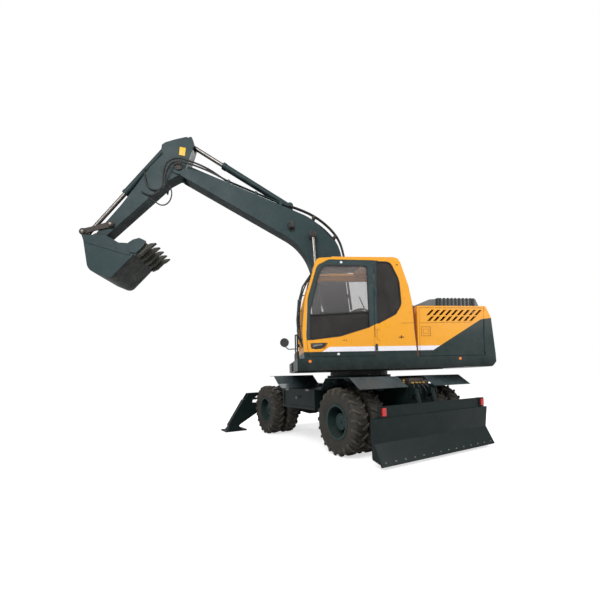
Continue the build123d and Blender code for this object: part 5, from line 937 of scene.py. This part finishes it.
def rounded(outline, segments=6):
    """Points round an outline of x, z, radius, with its corners rounded."""
    points = []
    count = len(outline)
    for number, (x, z, radius) in enumerate(outline):
        here = Vector((x, z))
        before = Vector(outline[number - 1][:2]) - here
        after = Vector(outline[(number + 1) % count][:2]) - here
        angle = before.angle(after)
        reach = min(radius / math.tan(angle / 2), 0.49 * before.length, 0.49 * after.length)
        start, end = here + before.normalized() * reach, here + after.normalized() * reach
        for step in range(segments + 1):
            share = step / segments
            points.append((start.lerp(here, share)).lerp(here.lerp(end, share), share))
    return [(point.x, point.y) for point in points]


DOOR_WINDOW = (
    # x, z and the corner's radius
    (0.118, 2.03, 0.02), (0.6, 1.888, 0.6), (1.09, 1.832, 0.02), (1.075, 2.3, 0.4),
    (0.925, 2.88, 0.2), (0.85, 3.012, 0.09), (0.139, 3.018, 0.06),
)
QUARTER_WINDOW = (
    (-0.02, 2.085, 0.012), (-0.02, 3.085, 0.012), (-0.25, 3.085, 0.12), (-0.395, 2.8, 0.4),
    (-0.425, 2.4, 0.16), (-0.33, 2.24, 0.1),
)
SEAM_Y = DOOR_Y + 0.001
CREASE_Y = DOOR_Y + 0.0012
STRIPS = (
    # name, material, body, then each strip's width, depth, y, whether it closes, and its x, z points
    ("door_seal", seal_rubber, "cab_door", ((0.014, 0.01, DOOR_Y, True, rounded(DOOR_WINDOW)),)),
    ("quarter_seal", seal_rubber, "upper", ((0.016, 0.01, DOOR_Y, True, rounded(QUARTER_WINDOW)),)),
    ("cab_seam", seam_and_shade_brown, "upper", (
        (0.018, 0.006, SEAM_Y, False, ((-0.629, 2.38), (-0.652, 2.0), (-0.694, 1.545))),
    )),
    ("cab_crease_shade_and_joints", seam_and_shade_brown, "upper", (
        # painted shade: a brown line where the panel folds at the crease
        (0.004, 0.003, CREASE_Y, False, ((-0.42, 2.09), (-0.6, 2.094), (-0.66, 2.092))),
        (0.006, 0.004, CREASE_Y, False, ((0.029, 1.56), (0.029, 2.055))),
        (0.004, 0.003, CREASE_Y, False, ((-0.055, 1.99), (-0.003, 1.99), (-0.003, 1.83), (-0.055, 1.8))),
    )),
    ("hood_crease_shade_and_joints_left", seam_and_shade_brown, "side_door_left", (
        # painted shade: a brown line where the panel folds at the crease
        (0.004, 0.003, CREASE_Y, False, ((-0.72, 2.092), (-1.2, 2.1), (-1.66, 2.104))),
        (0.005, 0.003, CREASE_Y, True, ((-0.768, 2.028), (-0.922, 2.028), (-0.922, 1.877), (-0.768, 1.877))),
        (0.003, 0.003, CREASE_Y, True, ((-0.8, 1.99), (-0.89, 1.99), (-0.89, 1.915), (-0.8, 1.915))),
    )),
)
for name, material, body, runs in STRIPS:
    strips = [strip_along(points, width, depth, y, closed) for width, depth, y, closed, points in runs]
    dress(merged(strips), name, material, body)

# %% Door handle and small fittings
RECESS = (
    (0.829, 1.77), (0.86, 1.784), (1.04, 1.776), (1.074, 1.764), (1.084, 1.73), (1.062, 1.696),
    (1.0, 1.68), (0.92, 1.69), (0.86, 1.722),
)
recess = sheet_outline(RECESS, 0.006, DOOR_Y - 0.002, UPPER, 0.002)
dress(recess, "handle_recess", black_plastic, "cab_door")
lever = [
    block((0.15, 0.016, 0.03), (0.972, DOOR_Y + 0.01, 1.742), UPPER, 0.007, -8),
    stud(0.02, 0.018, (1.036, DOOR_Y + 0.008, 1.73), UPPER, 24, "Y", 0.004),
]
dress(merged(lever), "handle_lever", bare_steel, "cab_door")
stops = [stud(0.009, 0.008, (x, DOOR_Y + 0.002, 1.818), UPPER, 16, "Y", 0.002, 0.001) for x in (0.505, 0.545)]
dress(merged(stops), "door_stops", seam_and_shade_brown, "cab_door")
latch = [
    block((0.08, 0.01, 0.016), (-0.416, DOOR_Y + 0.003, 1.86), UPPER, 0.004),
    block((0.014, 0.008, 0.06), (-0.416, DOOR_Y + 0.002, 1.866), UPPER, 0.003),
]
dress(merged(latch), "cab_latch", seam_and_shade_brown, "upper")
discs = [
    stud(0.02, 0.01, (x, DOOR_Y + 0.003, z), UPPER, 24, "Y", 0.003, 0.002)
    for x, z in ((0.56, 3.064), (0.64, 1.6))
]
dress(merged(discs), "door_discs", white_enamel, "cab_door")
hinges = [
    block((0.04, 0.012, 0.11), (0.006, DOOR_Y + 0.002, z), UPPER, 0.004) for z in (1.7, 2.6, 2.96)
]
dress(merged(hinges), "door_hinges", slate_paint, "upper")

# %% [markdown]
# ## Seat
# A driver's seat is foam under cloth: a cushion and a back with rounded edges and a sewn channel down
# each side, a headrest and two armrests.  Each pad is a block that is divided, crowned and smoothed.

# %% Seat
PAD_CUTS = 15
CHANNEL_PLACES = (-0.3, 0.3)  # as shares of the pad's width
CHANNEL_DEPTH = 0.014
CHANNEL_WIDTH = 0.035
UNDERSIDE_CROWN = -0.3
FACE_PULL = 0.05


def pad(size, at, tilt, crown):
    piece = primitive("cube", size=1)
    edit()
    bpy.ops.mesh.subdivide(number_cuts=PAD_CUTS)
    bpy.ops.transform.resize(value=size)
    leave()
    for vertex in piece.data.vertices:
        u, v, w = vertex.co.x / size[0], vertex.co.y / size[1], vertex.co.z / size[2]
        bulge = max(0.0, (1 - (2 * u) ** 2)) * max(0.0, (1 - (2 * v) ** 2))
        lift = (1 if w > 0 else UNDERSIDE_CROWN) * (1 if abs(w) > 0.3 else 0.5)
        vertex.co.z += crown * math.sqrt(bulge) * lift
        if w > 0.45 and abs(u) < 0.44:
            for channel in CHANNEL_PLACES:
                vertex.co.z -= CHANNEL_DEPTH * math.exp(-((v - channel) / CHANNEL_WIDTH) ** 2)
        pull = 1 - FACE_PULL * (2 * abs(w)) ** 2
        vertex.co.x *= pull
        vertex.co.y *= pull
    bevelled(piece, 0.012, 2)
    applied(piece, "SUBSURF", levels=1, render_levels=1)
    settle(piece, UPPER, Matrix.Translation(at) @ pitched(tilt))
    for polygon in piece.data.polygons:
        polygon.use_smooth = True
    return piece


SEAT_PADS = (
    # name, size, place, tilt, crown
    ("seat_cushion", (0.46, 0.49, 0.13), (0.11, CAB_MIDDLE_Y, 2.005), 5, 0.022),
    ("seat_back", (0.5, 0.48, 0.11), (-0.125, CAB_MIDDLE_Y, 2.31), 99, 0.022),
    ("seat_headrest", (0.22, 0.3, 0.085), (-0.185, CAB_MIDDLE_Y, 2.685), 100, 0.012),
)
for name, size, at, tilt, crown in SEAT_PADS:
    piece = pad(size, at, tilt, crown)
    dress(piece, name, seat_cloth, "upper")
frame_parts = [
    block((0.36, 0.38, 0.33), (0.09, CAB_MIDDLE_Y, 1.76), UPPER, 0.02, 0, 0.85),
    block((0.42, 0.46, 0.04), (0.1, CAB_MIDDLE_Y, 1.936), UPPER, 0.012, 4),
    block((0.03, 0.03, 0.2), (-0.175, CAB_MIDDLE_Y + 0.08, 2.6), UPPER, 0.008, 10),
    block((0.03, 0.03, 0.2), (-0.175, CAB_MIDDLE_Y - 0.08, 2.6), UPPER, 0.008, 10),
]
for side in (1, -1):
    y = CAB_MIDDLE_Y + side * 0.31
    frame_parts.append(block((0.4, 0.07, 0.06), (0.16, y, 2.165), UPPER, 0.018, 3))
    frame_parts.append(block((0.34, 0.085, 0.15), (0.2, y, 2.06), UPPER, 0.02, 3, 0.94))
    frame_parts.append(stud(0.022, 0.11, (0.36, y, 2.235), UPPER, 20, "Z", 0.018, 0.006))
seat_frame = dress(merged(frame_parts), "seat_frame", black_plastic, "upper")
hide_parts("seat")
belt = block((0.012, 0.048, 0.62), (0.035, CAB_MIDDLE_Y + 0.05, 2.33), UPPER, 0.003, -24)
dress(belt, "seat_belt", white_enamel, "upper")

# %% [markdown]
# ## Cab front and roof
# A hose runs up the cab's front corner, held by clips.  The windscreen has a wiper.  The roof carries a
# shallow hatch, a rain gutter and a short stub, and a small vent sits below it.

# %% Cab front hose, clips and wiper
HOSE_Y = 1.125
FRONT_HOSE = (
    (0.94, 3.04), (1.05, 2.88), (1.165, 2.69), (1.215, 2.56), (1.25, 2.42), (1.268, 2.26),
    (1.272, 2.11), (1.262, 1.95), (1.242, 1.83), (1.205, 1.73), (1.15, 1.65),
)
FRONT_CLIPS = (
    # x, z and tilt
    (1.12, 2.77, 60), (1.215, 2.545, 72), (1.262, 2.3, 84), (1.268, 2.06, 94), (1.24, 1.85, 104),
)
hose_run([(x - 0.03 * math.sin(math.pi * n / 10), HOSE_Y, z) for n, (x, z) in enumerate(FRONT_HOSE)],
         0.012, UPPER, "cab_front_hose", "upper")
clips = []
for x, z, tilt in FRONT_CLIPS:
    clips.append(block((0.03, 0.04, 0.026), (x, HOSE_Y, z), UPPER, 0.005, tilt))
    clips.append(block((0.012, 0.016, 0.08), (x - 0.032, HOSE_Y, z + 0.006), UPPER, 0.003, tilt))
dress(merged(clips), "cab_front_clips", black_plastic, "upper")
wiper = [
    block((0.016, 0.016, 0.78), (1.222, 0.7, 2.17), UPPER, 0.004, 4),
    block((0.02, 0.034, 0.56), (1.232, 0.7, 2.3), UPPER, 0.004, 3),
    stud(0.03, 0.04, (1.236, 0.7, 1.79), UPPER, 24, "X", 0.01),
]
dress(merged(wiper), "windscreen_wiper", black_plastic, "upper")

# %% Roof
hatch = [
    block((0.64, 0.64, 0.03), (0.475, CAB_MIDDLE_Y, 3.158), UPPER, 0.012),
    block((0.56, 0.56, 0.012), (0.475, CAB_MIDDLE_Y, 3.176), UPPER, 0.005),
]
dress(merged(hatch), "roof_hatch", black_plastic, "upper")
gutter = [
    block((1.1, 0.022, 0.018), (0.16, 1.236, 3.146), UPPER, 0.006),
    stud(0.03, 0.034, (-0.33, 1.12, 3.18), UPPER, 24, "Z", 0.012),
    block((0.05, 0.03, 0.012), (0.15, 1.2, 3.16), UPPER, 0.004),
]
dress(merged(gutter), "roof_gutter", side_paint, "upper")
vent = stud(0.012, 0.012, (-0.37, DOOR_Y - 0.004, 3.045), UPPER, 16, "Y", 0.003, 0.001)
dress(vent, "cab_vent", seal_rubber, "upper")

# %% [markdown]
# ## Engine cover and tail
# The cover has two black straps and a handle, and the tail has two round plugs.

# %% Engine cover pieces
straps = []
for x in (-1.395, -2.105):
    straps.append(block((0.045, 1.236, 0.012), (x, 0, 2.646), UPPER, 0.003))
    for side in (1, -1):
        straps.append(block((0.045, 0.01, 0.225), (x, side * 0.616, 2.54), UPPER, 0.003))
handle = block((0.11, 0.02, 0.018), (-1.62, 0.634, 2.47), UPPER, 0.005)
dress(merged(straps + [handle]), "cover_straps", black_plastic, "engine_lid")
plugs = [stud(0.055, 0.016, (-2.12, y, 2.384), UPPER, 32, "Z", 0.006) for y in (0.76, -0.76)]
dress(merged(plugs), "tail_plugs", dark_iron, "upper")

# %% [markdown]
# ## Blade, toolboxes and undercarriage fittings
# A row of bolts runs along the blade's cutting edge, and bezels frame its lamps.  Each toolbox has a
# lock and two hinges.  At the frame's rear four hoses run down from a block with brass elbows.

# %% Blade pieces
EDGE_BOLTS = 14
EDGE_HALF = 1.17
edge_bolts = []
for number in range(EDGE_BOLTS):
    y = -EDGE_HALF + 2 * EDGE_HALF * number / (EDGE_BOLTS - 1)
    edge_bolts.append(stud(0.016, 0.012, (-2.003, y, 0.098), GROUND, 6, "-X", 0.0, 0.002))
dress(merged(edge_bolts), "blade_bolts", bare_steel, "blade")
bezels = []
for side in (1, -1):
    for z in (0.685, 0.822):
        bezels.append(block((0.02, 0.098, 0.014), (-1.896, side * 1.1, z), GROUND, 0.003))
    for y in (1.052, 1.148):
        bezels.append(block((0.02, 0.014, 0.15), (-1.896, side * y, 0.754), GROUND, 0.003))
dress(merged(bezels), "lamp_bezels", dark_paint, "blade")

# %% Toolbox locks and hinges
for side, name in ((1, "left"), (-1, "right")):
    low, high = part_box(f"toolbox_{name}")
    y = high.y if side > 0 else low.y
    middle = (low.x + high.x) / 2
    fittings = [
        stud(0.03, 0.014, (middle + 0.05, y - side * 0.006, 0.87), GROUND, 24, FACING[side], 0.006),
        block((0.014, 0.022, 0.06), (middle + 0.05, y + side * 0.002, 0.87), GROUND, 0.004),
        block((0.12, 0.012, 0.036), (middle - 0.36, y - side * 0.004, 1.018), GROUND, 0.004),
        block((0.12, 0.012, 0.036), (middle + 0.42, y - side * 0.004, 1.018), GROUND, 0.004),
    ]
    dress(merged(fittings), f"toolbox_fittings_{name}", bare_steel, "undercarriage")

# %% Valve block, brass elbows and hoses
valves = [
    block((0.2, 0.32, 0.1), (-1.46, 0.08, 1.138), GROUND, 0.01),
    block((0.11, 0.13, 0.07), (-1.48, -0.17, 1.122), GROUND, 0.008),
]
dress(merged(valves), "valve_block", dark_iron, "undercarriage")
elbows = []
for y in (-0.05, 0.03, 0.11, 0.19):
    elbows.append(stud(0.02, 0.05, (-1.56, y, 1.112), GROUND, 6, "-X", 0.01))
    elbows.append(stud(0.016, 0.04, (-1.58, y, 1.112), GROUND, 24, "-X", 0.006))
for z in (1.112, 1.15):
    elbows.append(stud(0.022, 0.04, (-1.46, 0.25, z), GROUND, 6, "Y", 0.008))
dress(merged(elbows), "brass_elbows", brass, "undercarriage")
OUTER_RUN = ((-1.565, 1.105), (-1.625, 1.09), (-1.64, 1.01), (-1.6, 0.93), (-1.565, 0.88))
INNER_RUN = ((-1.565, 1.105), (-1.64, 1.085), (-1.655, 0.99), (-1.61, 0.9), (-1.565, 0.85))
UNDER_HOSES = (
    # x and z from the block over the frame's rear edge and down, then y at each place
    (OUTER_RUN, (-0.05, -0.06, -0.13, -0.2, -0.22)),
    (INNER_RUN, (0.03, 0.03, -0.03, -0.1, -0.12)),
    (INNER_RUN, (0.11, 0.12, 0.13, 0.13, 0.13)),
    (OUTER_RUN, (0.19, 0.2, 0.22, 0.23, 0.23)),
)
for number, (run, across) in enumerate(UNDER_HOSES):
    places = [(x, y, z) for (x, z), y in zip(run, across)]
    hose_run(places, 0.012, GROUND, f"under_hose_{number + 1}", "undercarriage")

# %% [markdown]
# ## Floor and light
# A pale floor and three soft lamps: a large key from the rear left and above, a fill and a back lamp.
# The sky is plain white where the camera sees it and dimmer where it lights the machine.

# %% Floor
FLOOR_GLOW = 0.62
floor = primitive("plane", size=120)
floor.name = "floor"
floor.location = (0, 0, -0.001)
floor_material, tree, shader, place = new_material("floor_pale")
camera_ray = add_node(tree, "ShaderNodeLightPath").outputs["Is Camera Ray"]
glow = calc(tree, "MULTIPLY", camera_ray, FLOOR_GLOW)
feed(tree, shader, Base_Color=(0.9, 0.9, 0.9, 1), Roughness=0.9)
feed(tree, shader, Emission_Color=(1, 1, 1, 1), Emission_Strength=glow)
floor.data.materials.append(floor_material)

# %% Lamps and sky
LAMPS = (
    # name, place, target, sides, power
    ("key", (-7.0, 9.0, 9.0), (0, 0.5, 1.8), (7, 7), 980),
    ("fill", (-10.0, -4.0, 6.0), (0, 0.5, 1.8), (7, 6), 380),
    ("back", (7.0, -5.0, 8.0), (0, 0.5, 2.0), (6, 6), 420),
)
for name, at, target, sides, power in LAMPS:
    data = bpy.data.lights.new(name, "AREA")
    data.shape = "RECTANGLE"
    data.size, data.size_y = sides
    data.energy = power
    lamp = linked(name, data)
    lamp.location = at
    lamp.rotation_euler = (Vector(target) - Vector(at)).to_track_quat("-Z", "Y").to_euler()
SKY_SEEN = 1.0
SKY_LIGHT = 0.44
world = bpy.data.worlds.new("studio")
bpy.context.scene.world = world
world.use_nodes = True
sky = world.node_tree
rays = add_node(sky, "ShaderNodeLightPath")
seen = calc(sky, "MAXIMUM", rays.outputs["Is Camera Ray"], rays.outputs["Is Transmission Ray"])
strength = calc(sky, "MULTIPLY_ADD", seen, SKY_SEEN - SKY_LIGHT, SKY_LIGHT)
feed(sky, sky.nodes["Background"], Color=(1, 1, 1, 1), Strength=strength)
